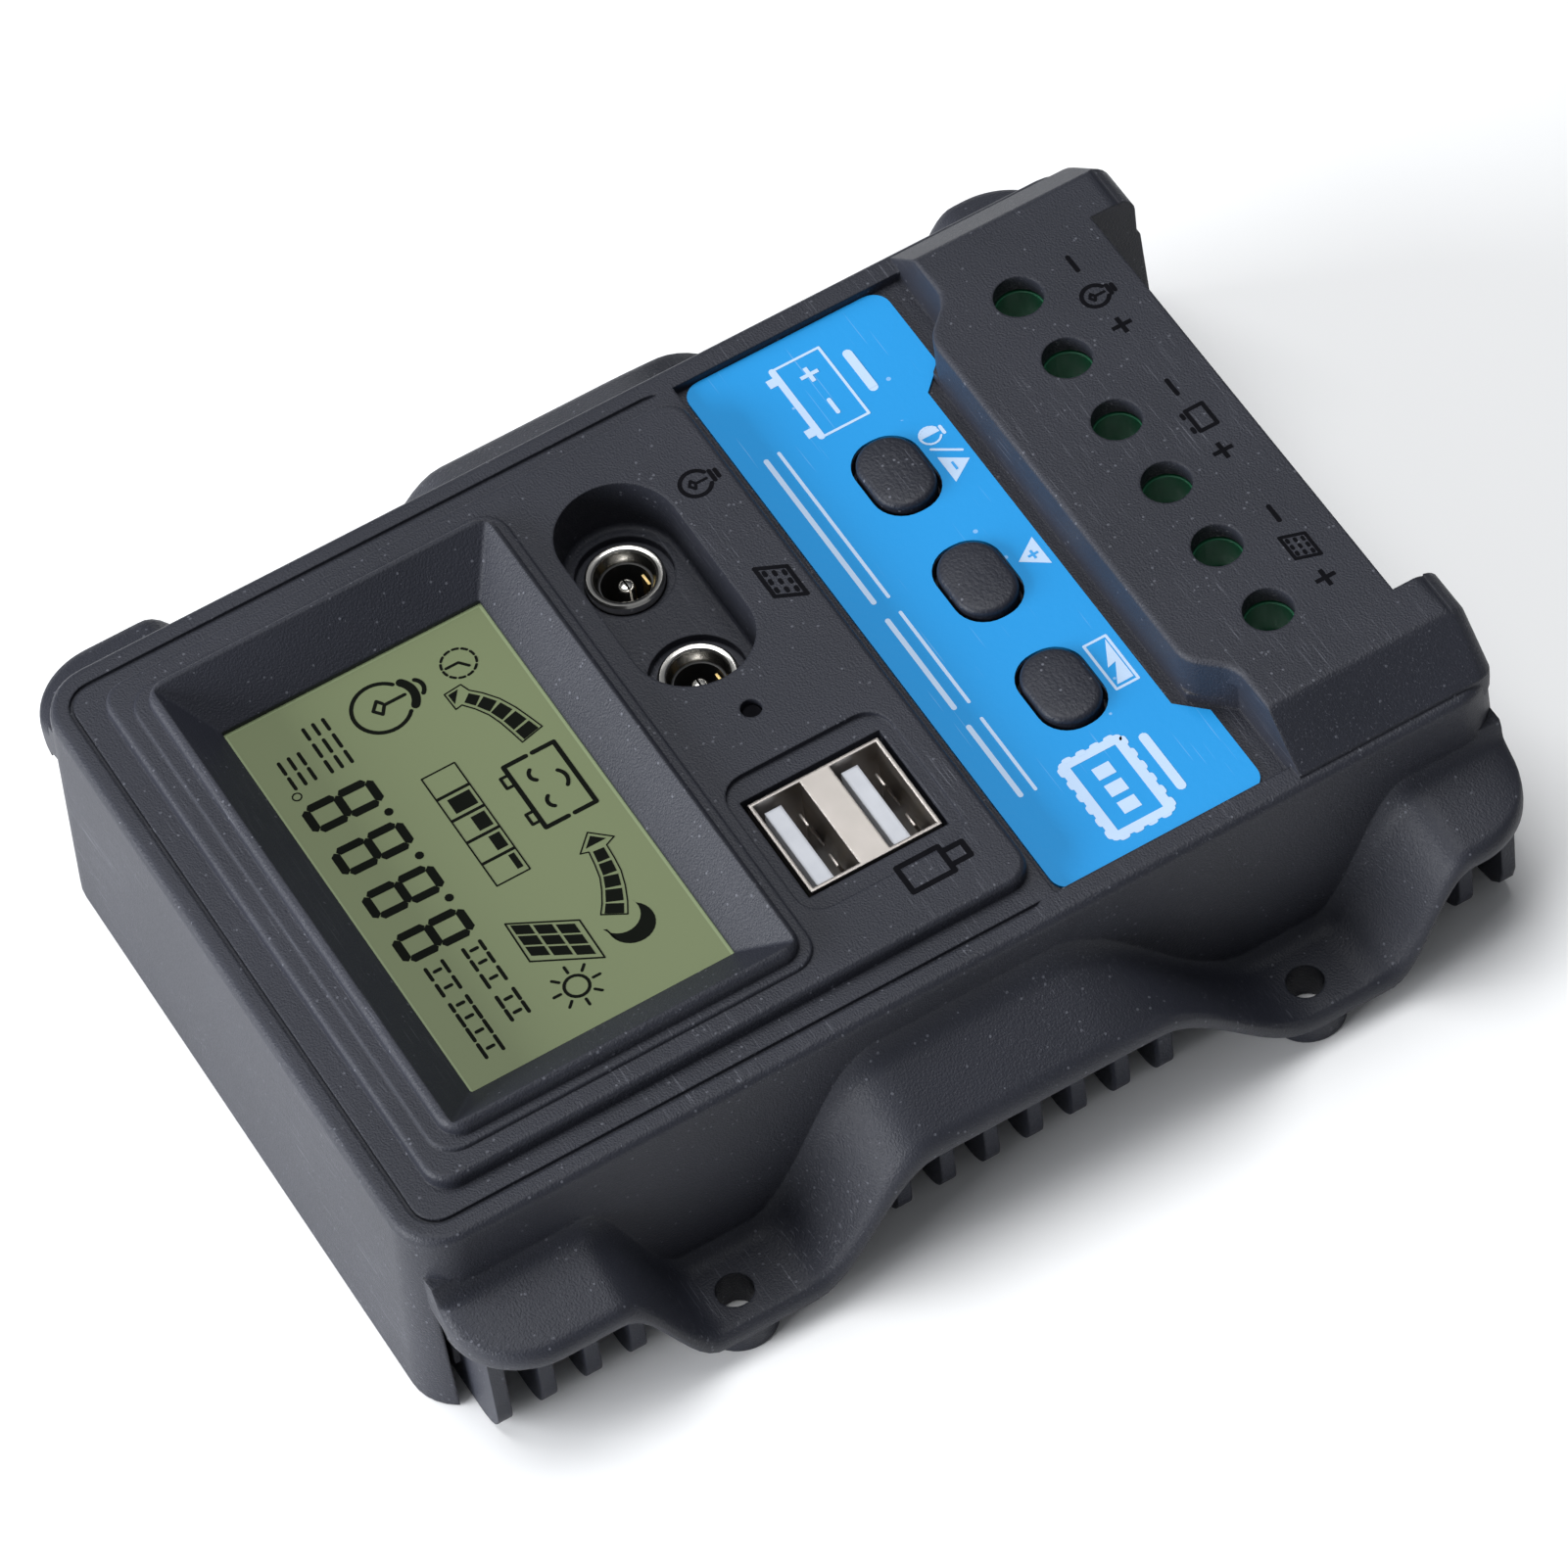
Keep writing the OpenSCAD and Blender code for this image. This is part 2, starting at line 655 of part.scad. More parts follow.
module tact_switches() {
    color([0.15, 0.15, 0.16]) for (x = keys_x) difference() {
        box(x - 3, x + 3, key_y - 3, key_y + 3, key_board_top, switch_top);
        rod(x, key_y, switch_top - 2.8, switch_top + 1, plunger_r + slip);
    }
}

module plunger(x) {
    color([0.8, 0.25, 0.15]) rod(x, key_y, switch_top - 1.6, cap_foot_z, plunger_r);
}

module key_cap(x) {
    flange_z = label_under - gap;
    color([0.14, 0.145, 0.165]) translate([x, key_y, 0]) {
        translate([0, 0, flange_z - 1.1]) rounded_plate(key_w + 2, key_l + 2, 3, 1.1);
        translate([0, 0, flange_z - tiny]) rounded_plate(key_w, key_l, 3, key_top - flange_z);
        translate([0, 0, cap_foot_z])
            cylinder(h = flange_z - 1 - cap_foot_z, r = plunger_r, $fn = round_fn);
    }
}

module key_cap_select() { key_cap(keys_x[2]); }
module key_cap_up() { key_cap(keys_x[1]); }
module key_cap_down() { key_cap(keys_x[0]); }
module plunger_select() { plunger(keys_x[2]); }
module plunger_up() { plunger(keys_x[1]); }
module plunger_down() { plunger(keys_x[0]); }

// ---- Sockets ----

jack_seat_z = board_top + 1.5;
jack_top = jack_floor_z + 0.2;

module jack_housings() {
    color([0.08, 0.08, 0.09]) for (x = jacks_x) difference() {
        box(x - 5.5, x + 5.5, socket_y - 5.5, socket_y + 5.5, board_top,
            jack_floor_z - jack_wall - 0.4);
        rod(x, socket_y, jack_seat_z, deck_z, jack_sleeve_d / 2 + fine);
    }
}

module jack_sleeves() {
    color([0.8, 0.8, 0.82]) for (x = jacks_x) difference() {
        rod(x, socket_y, jack_seat_z, jack_top, jack_sleeve_d / 2);
        rod(x, socket_y, jack_seat_z - 1, jack_top + 1, jack_bore_d / 2);
    }
}

module jack_pins() {
    color([0.8, 0.78, 0.7]) for (x = jacks_x) {
        rod(x, socket_y, jack_seat_z, jack_top - 2.2, jack_pin_d / 2);
        translate([x, socket_y, jack_top - 2.2 - tiny])
            cylinder(h = 0.6, r1 = jack_pin_d / 2, r2 = jack_pin_d / 4, $fn = round_fn);
    }
}

module jack_springs() {
    color([0.85, 0.75, 0.45]) for (x = jacks_x)
        box(x - 0.8, x + 0.8, socket_y - jack_bore_d / 2 + 0.5, socket_y - jack_bore_d / 2 + 0.8,
            jack_seat_z, jack_top - 2.5);
}

function port_y1(i) = usb_y + usb_l / 2 - usb_skin - i * (usb_port + usb_mid);
port_w = usb_w - 2 * usb_skin;

module usb_shell() {
    color([0.8, 0.77, 0.72]) difference() {
        box(usb_x - usb_w / 2, usb_x + usb_w / 2, usb_y - usb_l / 2, usb_y + usb_l / 2,
            board_top, usb_top);
        for (i = [0, 1])
            box(usb_x - port_w / 2, usb_x + port_w / 2, port_y1(i) - usb_port, port_y1(i),
                board_top - 1, usb_top + 1);
    }
}

module usb_insulator() {
    color([0.88, 0.89, 0.91]) for (i = [0, 1]) {
        box(usb_x - port_w / 2 + fine, usb_x + port_w / 2 - fine,
            port_y1(i) - usb_port + fine, port_y1(i) - fine, board_top, board_top + 7);
        box(usb_x - port_w / 2 + 0.7, usb_x + port_w / 2 - 0.7,
            port_y1(i) - 0.9 - tongue_t, port_y1(i) - 0.9, board_top + 7 - tiny, usb_top - 1.2);
    }
}

module usb_contacts() {
    color([0.85, 0.7, 0.35]) for (i = [0, 1], k = [0 : 3])
        box(usb_x - 3.75 + k * 2.5 - 0.5, usb_x - 3.75 + k * 2.5 + 0.5,
            port_y1(i) - 0.9 - tongue_t - 0.25, port_y1(i) - 0.9 - tongue_t,
            board_top + 7, usb_top - 2.2);
}

module status_led() {
    color([0.9, 0.2, 0.15]) {
        rod(light_x, light_y, board_top, board_top + 1, 1.9);
        rod(light_x, light_y, board_top + 0.9, board_top + 2.7, 1.5);
    }
}

module light_guide() {
    color([0.75, 0.78, 0.8]) rod(light_x, light_y, board_top + 2.7, deck_z - 0.8, 1);
}

// ---- Terminals ----

module terminal_body() {
    x1 = 3 * pole_pitch + 0.5;
    color([0.12, 0.33, 0.2]) difference() {
        union() {
            box(-x1, x1, block_y0, block_y1, board_top, label_under - gap);
            box(-x1, x1, block_y0, housing_y1 - 2 - gap, board_top, block_top);
        }
        for (i = [0 : 5]) {
            x = pole_x(i);
            box(x - cage_w / 2 - gap, x + cage_w / 2 + gap, pole_y - cage_l / 2 - gap,
                pole_y + cage_l / 2 + gap, cage_z - gap, ledge_z);
            box(x - 3, x + 3, block_y0 - 1, pole_y, cage_z + cage_wall - 0.2, bar_z);
            box(x - 2.6, x + 2.6, pole_y, block_y1 - 0.8, board_top - 1, bar_z + bar_t + gap);
            rod(x, pole_y, ledge_z - 1, block_top, screw_d / 2 + slip);
            rod(x, pole_y, ledge_z + ledge_t, block_top + 1, access_d / 2 - slip);
        }
    }
}

module terminal_bars() {
    leg_y = block_y1 - 0.9;
    color([0.75, 0.75, 0.72]) for (i = [0 : 5]) {
        x = pole_x(i);
        box(x - 2.4, x + 2.4, pole_y - cage_l / 2 + 0.5, leg_y, bar_z, bar_z + bar_t);
        box(x - 2.4, x + 2.4, leg_y - 1, leg_y, board_top, bar_z + tiny);
    }
}

module terminal_screw(i) {
    color([0.72, 0.72, 0.74]) translate([pole_x(i), pole_y, screw_head_z])
        pan_screw(screw_head_d / 2, screw_head_t, screw_d / 2,
                  screw_head_z - bar_z - bar_t - gap);
}

module wire_cage(i) {
    x = pole_x(i);
    color([0.7, 0.66, 0.5]) difference() {
        box(x - cage_w / 2, x + cage_w / 2, pole_y - cage_l / 2, pole_y + cage_l / 2,
            cage_z, cage_z + cage_h);
        box(x - cage_w / 2 + cage_wall, x + cage_w / 2 - cage_wall, pole_y - cage_l,
            pole_y + cage_l, cage_z + cage_wall, cage_z + cage_h - cage_nut_t);
        rod(x, pole_y, cage_z + 2 * cage_wall, cage_z + cage_h + 1, screw_d / 2 + fine);
    }
}

module terminal_screw_1() { terminal_screw(0); }
module terminal_screw_2() { terminal_screw(1); }
module terminal_screw_3() { terminal_screw(2); }
module terminal_screw_4() { terminal_screw(3); }
module terminal_screw_5() { terminal_screw(4); }
module terminal_screw_6() { terminal_screw(5); }
module wire_cage_1() { wire_cage(0); }
module wire_cage_2() { wire_cage(1); }
module wire_cage_3() { wire_cage(2); }
module wire_cage_4() { wire_cage(3); }
module wire_cage_5() { wire_cage(4); }
module wire_cage_6() { wire_cage(5); }

// ---- Main board ----

module main_board() {
    color([0.06, 0.32, 0.17]) difference() {
        box(-board_half, board_half, board_y0, board_y1, board_z, board_top);
        box(-spreader_half - gap, spreader_half + gap, spreader_y1 - spreader_t - gap,
            spreader_y1 + gap, board_z - 1, board_top + 1);
        for (p = board_spots) rod(p[0], p[1], board_z - 1, board_top + 1, 1.6);
    }
}

module board_screws() {
    color([0.75, 0.75, 0.77]) for (p = board_spots) translate([p[0], p[1], board_top])
        pan_screw(2.7, 1.8, 1.25, board_top - floor_z + 0.5);
}

module thermal_pad() {
    color([0.55, 0.6, 0.68]) box(-spreader_half, spreader_half, spreader_y1 - spreader_t,
        spreader_foot_y, floor_z, floor_z + pad_t);
}

module heat_spreader() {
    z0 = floor_z + pad_t;
    color([0.76, 0.77, 0.79]) difference() {
        union() {
            box(-spreader_half, spreader_half, spreader_y1 - spreader_t, spreader_foot_y,
                z0, z0 + spreader_foot_t);
            box(-spreader_half, spreader_half, spreader_y1 - spreader_t, spreader_y1,
                z0, spreader_top);
        }
        for (x = fets_x) translate([x, spreader_y1 + 1, fet_hole_z]) rotate([90, 0, 0])
            cylinder(h = spreader_t + 2, r = 1.3, $fn = round_fn);
    }
}

module mosfets() {
    color([0.1, 0.1, 0.11]) for (x = fets_x) translate([x, spreader_y1, 0]) {
        box(-5, 5, 1.3, 4.5, fet_hole_z - 12, fet_hole_z - 2.8);
        difference() {
            box(-5, 5, 0, 1.3 + tiny, fet_hole_z - 12, fet_hole_z + 2.4);
            translate([0, 3, fet_hole_z]) rotate([90, 0, 0])
                cylinder(h = 4, r = 1.8, $fn = round_fn);
        }
        for (k = [-1, 0, 1])
            box(k * 2.54 - 0.4, k * 2.54 + 0.4, 2, 2.6, board_top, fet_hole_z - 12 + tiny);
    }
}

module mosfet_screws() {
    color([0.75, 0.75, 0.77]) for (x = fets_x)
        translate([x, spreader_y1 + 1.3 + 2 * tiny, fet_hole_z]) rotate([-90, 0, 0])
            pan_screw(2.3, 1.4, 1.25, 3);
}

caps_y = [window_y - 11, window_y, window_y + 11];

module capacitors() {
    top = min(board_top + 10, front_board_z - 0.6);
    color([0.12, 0.14, 0.3]) for (y = caps_y) rod(-board_half + 6, y, board_top, top, 4);
}

inductor_x = 2;
inductor_in = 4.5;
inductor_out = 9;
wire_t = 0.8;
core_z = board_top + wire_t + slip;
core_h = 7;

module inductor_core() {
    color([0.75, 0.68, 0.3]) difference() {
        rod(inductor_x, window_y, core_z, core_z + core_h, inductor_out);
        rod(inductor_x, window_y, core_z - 1, core_z + core_h + 1, inductor_in);
    }
}

module inductor_winding() {
    turns = 14;
    color([0.72, 0.42, 0.2]) for (i = [0 : turns - 1])
        translate([inductor_x, window_y, core_z]) rotate(i * 300 / turns)
            difference() {
                box(inductor_in - wire_t - slip, inductor_out + wire_t + slip,
                    -wire_t / 2, wire_t / 2, -wire_t - slip, core_h + wire_t + slip);
                box(inductor_in - slip - fine, inductor_out + slip, -wire_t, wire_t,
                    -slip, core_h + slip);
            }
}

module controller_chip() {
    x = 22;
    color([0.13, 0.13, 0.14]) {
        box(x - 5, x + 5, window_y - 5, window_y + 5, board_top + 0.2, board_top + 1.8);
        for (s = [0, 90, 180, 270], k = [-4 : 4])
            translate([x, window_y, board_top]) rotate(s)
                box(4.6, 6.2, k - 0.2, k + 0.2, 0, 0.5);
    }
}

module blade_fuse() {
    x = -15;
    y = key_y + 2;
    color([0.85, 0.45, 0.1]) {
        box(x - 9, x + 9, y - 2.6, y + 2.6, board_top + 1.5, board_top + 6);
        for (s = [-1, 1]) box(x + s * 7 - 0.6, x + s * 7 + 0.6, y - 2.2, y + 2.2,
            board_top, board_top + 1.6);
    }
}

upper_case();
back_cover();
case_screws();
label_overlay();
lcd_glass();
lcd_backlight();
lcd_frame();
lcd_pins();
display_board();
key_board();
front_board_screws();
display_header();
key_header();
key_cap_select();
key_cap_up();
key_cap_down();
plunger_select();
plunger_up();
plunger_down();
tact_switches();
jack_housings();
jack_sleeves();
jack_pins();
jack_springs();
usb_shell();
usb_insulator();
usb_contacts();
status_led();
light_guide();
terminal_body();
terminal_bars();
terminal_screw_1();
terminal_screw_2();
terminal_screw_3();
terminal_screw_4();
terminal_screw_5();
terminal_screw_6();
wire_cage_1();
wire_cage_2();
wire_cage_3();
wire_cage_4();
wire_cage_5();
wire_cage_6();
main_board();
board_screws();
thermal_pad();
heat_spreader();
mosfets();
mosfet_screws();
capacitors();
inductor_core();
inductor_winding();
controller_chip();
blade_fuse();
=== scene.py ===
import math

import bmesh
import bpy
from mathutils import Matrix, Vector


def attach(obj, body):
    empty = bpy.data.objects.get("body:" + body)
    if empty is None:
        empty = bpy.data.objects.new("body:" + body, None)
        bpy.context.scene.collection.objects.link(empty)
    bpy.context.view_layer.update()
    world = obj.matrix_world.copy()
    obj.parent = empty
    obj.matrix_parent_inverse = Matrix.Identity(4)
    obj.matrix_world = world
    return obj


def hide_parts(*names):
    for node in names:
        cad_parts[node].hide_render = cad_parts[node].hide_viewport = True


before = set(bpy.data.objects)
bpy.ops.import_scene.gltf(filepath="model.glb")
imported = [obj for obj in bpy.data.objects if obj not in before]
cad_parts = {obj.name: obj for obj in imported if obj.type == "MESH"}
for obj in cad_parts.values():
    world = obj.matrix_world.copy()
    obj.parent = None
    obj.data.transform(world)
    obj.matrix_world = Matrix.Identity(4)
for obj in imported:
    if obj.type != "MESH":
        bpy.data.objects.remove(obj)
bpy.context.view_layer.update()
scene = bpy.context.scene

# ---- Studio ----
# A pale floor under the four feet, a long lens above the display end, a strong
# soft lamp low beyond that end, a weaker one overhead and a pale room.
camera = bpy.data.objects.new("camera", bpy.data.cameras.new("camera"))
scene.collection.objects.link(camera)
camera.data.sensor_width = 36
camera.data.lens = 202.2
camera.data.clip_end = 20
camera_axes = Matrix(((-0.5006, -0.8610, -0.0895), (0.6745, -0.4528, 0.5831), (-0.5426, 0.2316, 0.8075)))
camera.matrix_world = Matrix.Translation((-0.5129, 0.2181, 0.7747)) @ camera_axes.transposed().to_4x4()
scene.camera = camera

floor_mesh = bpy.data.meshes.new("floor")
floor_bm = bmesh.new()
bmesh.ops.create_grid(floor_bm, x_segments=1, y_segments=1, size=6,
                      matrix=Matrix.Translation((0, 0, -0.0002)))
floor_bm.to_mesh(floor_mesh)
floor_bm.free()
floor = bpy.data.objects.new("floor", floor_mesh)
scene.collection.objects.link(floor)

room = bpy.data.worlds.new("room")
room.use_nodes = True
room.node_tree.nodes["Background"].inputs["Color"].default_value = (0.93, 0.96, 1.0, 1)
room.node_tree.nodes["Background"].inputs["Strength"].default_value = 0.20
scene.world = room
scene.view_settings.view_transform = "Standard"


def lamp(name, place, aim, size, power, colour):
    light = bpy.data.lights.new(name, "AREA")
    light.shape = "RECTANGLE"
    light.size, light.size_y = size
    light.energy = power
    light.color = colour
    made = bpy.data.objects.new(name, light)
    made.location = place
    made.rotation_euler = (Vector(aim) - Vector(place)).to_track_quat("-Z", "Y").to_euler()
    scene.collection.objects.link(made)


lamp("lamp_end", (0.10, 1.15, 0.34), (0, 0, 0.02), (1.1, 0.5), 29, (0.95, 0.97, 1.0))
lamp("lamp_top", (0.25, 0.10, 1.3), (0, 0, 0), (0.9, 0.9), 15, (0.98, 0.99, 1.0))


class Shade:
    """A value in a material. Python's signs add Math nodes, and node() adds any other."""

    def __init__(self, tree, socket):
        self.tree = tree
        self.socket = socket

    def node(self, kind, settings=(), out=0, **sockets):
        made = self.tree.nodes.new("ShaderNode" + kind)
        for key, value in dict(settings).items():
            if key == "stops":
                ramp = made.color_ramp
                while len(ramp.elements) < len(value):
                    ramp.elements.new(0.5)
                for stop, (place, colour) in zip(ramp.elements, value):
                    stop.position = place
                    stop.color = colour
            else:
                setattr(made, key, value)
        for key, value in sockets.items():
            target = made.inputs[int(key[1:])] if key[1:].isdigit() else made.inputs[key.replace("_", " ")]
            if isinstance(value, Shade):
                self.tree.links.new(value.socket, target)
            else:
                target.default_value = value
        return Shade(self.tree, made.outputs[out])

    def math(self, operation, first, second=0.0):
        return self.node("Math", {"operation": operation}, i0=first, i1=second)

    def __add__(self, other):
        return self.math("ADD", self, other)

    def __mul__(self, other):
        return self.math("MULTIPLY", self, other)

    def __sub__(self, other):
        return self.math("SUBTRACT", self, other)

    def __gt__(self, other):
        return self.math("GREATER_THAN", self, other)

    def __lt__(self, other):
        return self.math("LESS_THAN", self, other)

    def noise(self, scale, detail=2.0):
        return self.node("TexNoise", Vector=self, Scale=scale, Detail=detail)

    def blend(self, first, second):
        """The first colour where this mask is 0, the second where it is 1."""
        return self.node("Mix", {"data_type": "RGBA"}, out=2, i0=self, i6=first, i7=second)

    def spread(self, low, high):
        """This value with low to high stretched over 0 to 1."""
        return self.node("MapRange", Value=self, From_Min=low, From_Max=high)


def finish(name, **sockets):
    """A new material with its Principled sockets set or linked; returns it and its coordinates."""
    material = bpy.data.materials.new(name)
    material.use_nodes = True
    tree = material.node_tree
    place = Shade(tree, tree.nodes.new("ShaderNodeTexCoord").outputs["Object"])
    set_sockets(material, **sockets)
    return material, place


def set_sockets(material, **sockets):
    shader = material.node_tree.nodes["Principled BSDF"]
    for key, value in sockets.items():
        target = shader.inputs[key.replace("_", " ")]
        if isinstance(value, Shade):
            material.node_tree.links.new(value.socket, target)
        else:
            target.default_value = value


floor_paint, floor_place = finish("floor_paper")
set_sockets(floor_paint, Roughness=0.9, Base_Color=floor_place.noise(3).blend(
    (0.93, 0.93, 0.93, 1), (0.95, 0.95, 0.95, 1)))
floor_mesh.materials.append(floor_paint)

# ---- Upper case ----
# The front half of the housing, one dark slate moulding with a fine texture. It is put
# together from rounded slabs, then the display pit, label recess, sockets and holes are cut.
HALF_W, HALF_L, RIM, ROOF = 43.2, 67.0, 30.0, 35.95
DECK, BEZEL, WINDOW, SHELF = 31.9, 34.0, 28.9, 28.6
HOLE_X, HOLES_Y, HOLE_R, FOOT_R = 49.0, (34.3, -35.7), 2.1, 4.3
POLES = [(i - 2.5) * 10.16 for i in range(6)]
POLE_Y, RECESS_X, RECESS_Y = -47.5, 30.48, -59.7
KEYS = {"down": 16.75, "up": -0.35, "select": -17.45}
KEY_Y = -26.4
JACKS_X, JACK_Y = (8.7, 24.7), 3.4
WINDOW_X, WINDOW_Y0, WINDOW_Y1 = 27.5, 19.2, 50.7


def rounded(x0, x1, y0, y1, r, steps=6):
    """The corners of a rounded rectangle, anticlockwise."""
    points = []
    corners = ((x1 - r, y0 + r, -90), (x1 - r, y1 - r, 0), (x0 + r, y1 - r, 90), (x0 + r, y0 + r, 180))
    for cx, cy, turn in corners:
        for k in range(steps + 1):
            a = math.radians(turn + 90 * k / steps)
            points.append((cx + r * math.cos(a), cy + r * math.sin(a)))
    return points


def slab(outline, low, high, axis="Z"):
    """A solid of an outline pulled along an axis; the outline is in the other two, in X, Y, Z order."""
    bm = bmesh.new()
    at = "XYZ".index(axis)
    face = bm.faces.new([bm.verts.new(pair[:at] + (low,) + pair[at:]) for pair in map(tuple, outline)])
    pulled = bmesh.ops.extrude_face_region(bm, geom=[face])["geom"]
    step = Vector([high - low if name == axis else 0 for name in "XYZ"])
    bmesh.ops.translate(bm, verts=[v for v in pulled if isinstance(v, bmesh.types.BMVert)], vec=step)
    bmesh.ops.recalc_face_normals(bm, faces=bm.faces)
    return bm


def soften(bm, width, pick, segments=3):
    """Rounds the edges whose two ends both pass a test."""
    edges = [e for e in bm.edges if pick(e.verts[0].co) and pick(e.verts[1].co)]
    bmesh.ops.bevel(bm, geom=edges, offset=width, offset_type="OFFSET", segments=segments,
                    profile=0.5, affect="EDGES", clamp_overlap=True, material=-1)
    return bm


def solid(bm):
    """An object of a finished bmesh, which is freed."""
    mesh = bpy.data.meshes.new("part")
    bm.to_mesh(mesh)
    bm.free()
    made = bpy.data.objects.new("part", mesh)
    scene.collection.objects.link(made)
    return made


def combine(body, tools, operation):
    """Joins the tools to a body, or cuts them out of it."""
    for tool in tools:
        change = body.modifiers.new("change", "BOOLEAN")
        change.operation = operation
        change.solver = "EXACT"
        change.object = tool
    mesh = bpy.data.meshes.new_from_object(body.evaluated_get(bpy.context.evaluated_depsgraph_get()))
    body.modifiers.clear()
    body.data = mesh
    for tool in tools:
        bpy.data.objects.remove(tool)
    return body


def settle(piece, name, body, material, nodes=(), sharp=32, weighted=False, flat=False):
    """Millimetres to metres, shading, material and the frame's calls for a finished piece."""
    piece.name = name
    piece.data.name = name
    piece.data.transform(Matrix.Scale(0.001, 4))
    piece.data.materials.clear()
    piece.data.materials.append(material)
    if not flat:
        piece.data.shade_smooth()
        piece.data.set_sharp_from_angle(angle=math.radians(sharp))
    if weighted:
        even = piece.modifiers.new("even", "WEIGHTED_NORMAL")
        even.keep_sharp = True
    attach(piece, body)
    if nodes:
        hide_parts(*nodes)


def disc(x, y, low, high, r, segments=48):
    turns = [2 * math.pi * k / segments for k in range(segments)]
    return slab([(x + r * math.cos(a), y + r * math.sin(a)) for a in turns], low, high)


def box(x0, x1, y0, y1, z0, z1):
    return slab([(x0, y0), (x1, y0), (x1, y1), (x0, y1)], z0, z1)


def step(y, y0, y1, z0, z1):
    """A smooth step from z0 at y0 to z1 at y1."""
    return z0 + (z1 - z0) * (1 - math.cos(math.pi * max(0, min(1, (y - y0) / (y1 - y0))))) / 2


LOW, LOBE, MID_LOBE, LIP, FLANGE_T, FLANGE_OUT, FLANGE_END = 5.2, 21.0, 24.4, 19.0, 3.2, 10.4, 64.6


def dip(y, y0, y1, y2, y3):
    """Up from 0 to 1 between the first two places, and back down between the last two."""
    return min(step(y, y0, y1, 0, 1), step(y, y2, y3, 1, 0))


def root_z(y):
    """The height of the flange where it leaves the wall."""
    top = LOBE if y > HOLES_Y[0] or y < HOLES_Y[1] else MID_LOBE
    a, b = HOLES_Y
    share = max(dip(y, a - 22, a - 5, a + 3, a + 13), dip(y, b - 17, b - 4.5, b + 3.5, b + 27))
    return top + (LOW - top) * share


def edge_z(y):
    """The height of the flange at its outer edge."""
    a, b = HOLES_Y
    share = max(dip(y, a - 23, a - 7, a + 4, a + 14.5), dip(y, b - 18.5, b - 8, b + 1, b + 20))
    return LIP + (LOW - LIP) * share


def reach(y):
    """How far the flange stands out from the wall; its two corners are round."""
    corner = 9
    d = max(0, abs(y) - (FLANGE_END - corner))
    return max(0.6, FLANGE_OUT - corner + math.sqrt(max(0, corner * corner - d * d)))


def flange(side):
    """The wavy flange of one side: a rounded lip pulled along the wall, then bent to its wave."""
    bm = bmesh.new()
    section = [(-2.2, -FLANGE_T), (-2.2, 2.2), (-0.35, 2.2), (0.15, 1.25), (0.7, 0.5), (1.5, 0.1), (2.4, 0),
               (9.0, 0), (9.8, -0.22), (10.25, -0.75), (FLANGE_OUT, -1.4), (10.3, -2.3), (9.9, -2.9),
               (9.2, -FLANGE_T), (4, -FLANGE_T)]
    ring = [bm.verts.new((u, -FLANGE_END, w)) for u, w in section]
    rim = [bm.edges.new(pair) for pair in zip(ring, ring[1:] + ring[:1])]
    bmesh.ops.contextual_create(bm, geom=rim)
    count = 160
    steps = [-FLANGE_END + FLANGE_END * (1 - math.cos(math.pi * k / count)) for k in range(count + 1)]
    for here, there in zip(steps, steps[1:]):
        pulled = bmesh.ops.extrude_edge_only(bm, edges=rim)["geom"]
        ring = {v for v in pulled if isinstance(v, bmesh.types.BMVert)}
        rim = [e for e in pulled if isinstance(e, bmesh.types.BMEdge) and ring.issuperset(e.verts)]
        bmesh.ops.translate(bm, verts=list(ring), vec=(0, there - here, 0))
    bmesh.ops.contextual_create(bm, geom=rim)
    for v in bm.verts:
        u, y, w = v.co
        share = max(0, min(1, u / FLANGE_OUT))
        out = u * reach(y) / FLANGE_OUT if u > 0 else u
        v.co = (side * (HALF_W + out), y, root_z(y) * (1 - share) + edge_z(y) * share + w)
    bmesh.ops.recalc_face_normals(bm, faces=bm.faces)
    return solid(bm)


def under_flange(side):
    """What is cut from the side wall below the flange."""
    count = 120
    ys = [-64.1 + 128.2 * k / count for k in range(count + 1)]
    outline = [(64.1, -1), (-64.1, -1)] + [(y, root_z(y) - FLANGE_T / 2) for y in ys]
    low, high = (40, 49) if side > 0 else (-49, -40)
    return solid(slab(outline, low, high, "X"))


def moulded(name, colour, light, rough, grain, edge=0.0004, wear=1.0, shine=0.3):
    """Textured plastic: soft edges, a fine grain, dust specks and hair-thin handling marks."""
    material, place = finish(name)
    tone = place.noise(55, 3).spread(0.3, 0.7)
    base = tone.blend(colour, light)
    pale = tuple(min(1, c * 3 + 0.07) for c in colour[:3]) + (1,)
    specks = place.node("TexVoronoi", Vector=place, Scale=900.0) < 0.14
    specks = specks * (place.noise(260, 0) > 0.53)
    first = place.node("Mapping", Vector=place, Rotation=(0.3, 0.2, 0.6), Scale=(160, 5200, 5200))
    second = place.node("Mapping", Vector=place, Rotation=(0.1, 0.5, -0.75), Scale=(130, 4600, 4600))
    marks = (first.noise(1, 1).spread(0.66, 0.78) + second.noise(1, 1).spread(0.67, 0.79)) * wear
    marks = marks * place.noise(38, 1).spread(0.45, 0.62)
    base = (specks * 0.55 * wear + marks * 0.50).blend(base, pale)
    bump = place.noise(grain, 2)
    soft = place.node("Bevel", {"samples": 4}, Radius=edge)
    normal = place.node("Bump", Strength=0.80, Distance=0.00011, Height=bump, Normal=soft)
    set_sockets(material, Base_Color=base, Roughness=bump * 0.16 + (rough - 0.08) - marks * 0.06,
                Normal=normal, Specular_IOR_Level=shine)
    return material


case_plastic = moulded("case_plastic", (0.0165, 0.0180, 0.0255, 1), (0.0215, 0.0230, 0.0320, 1),
                       0.5, 4200)

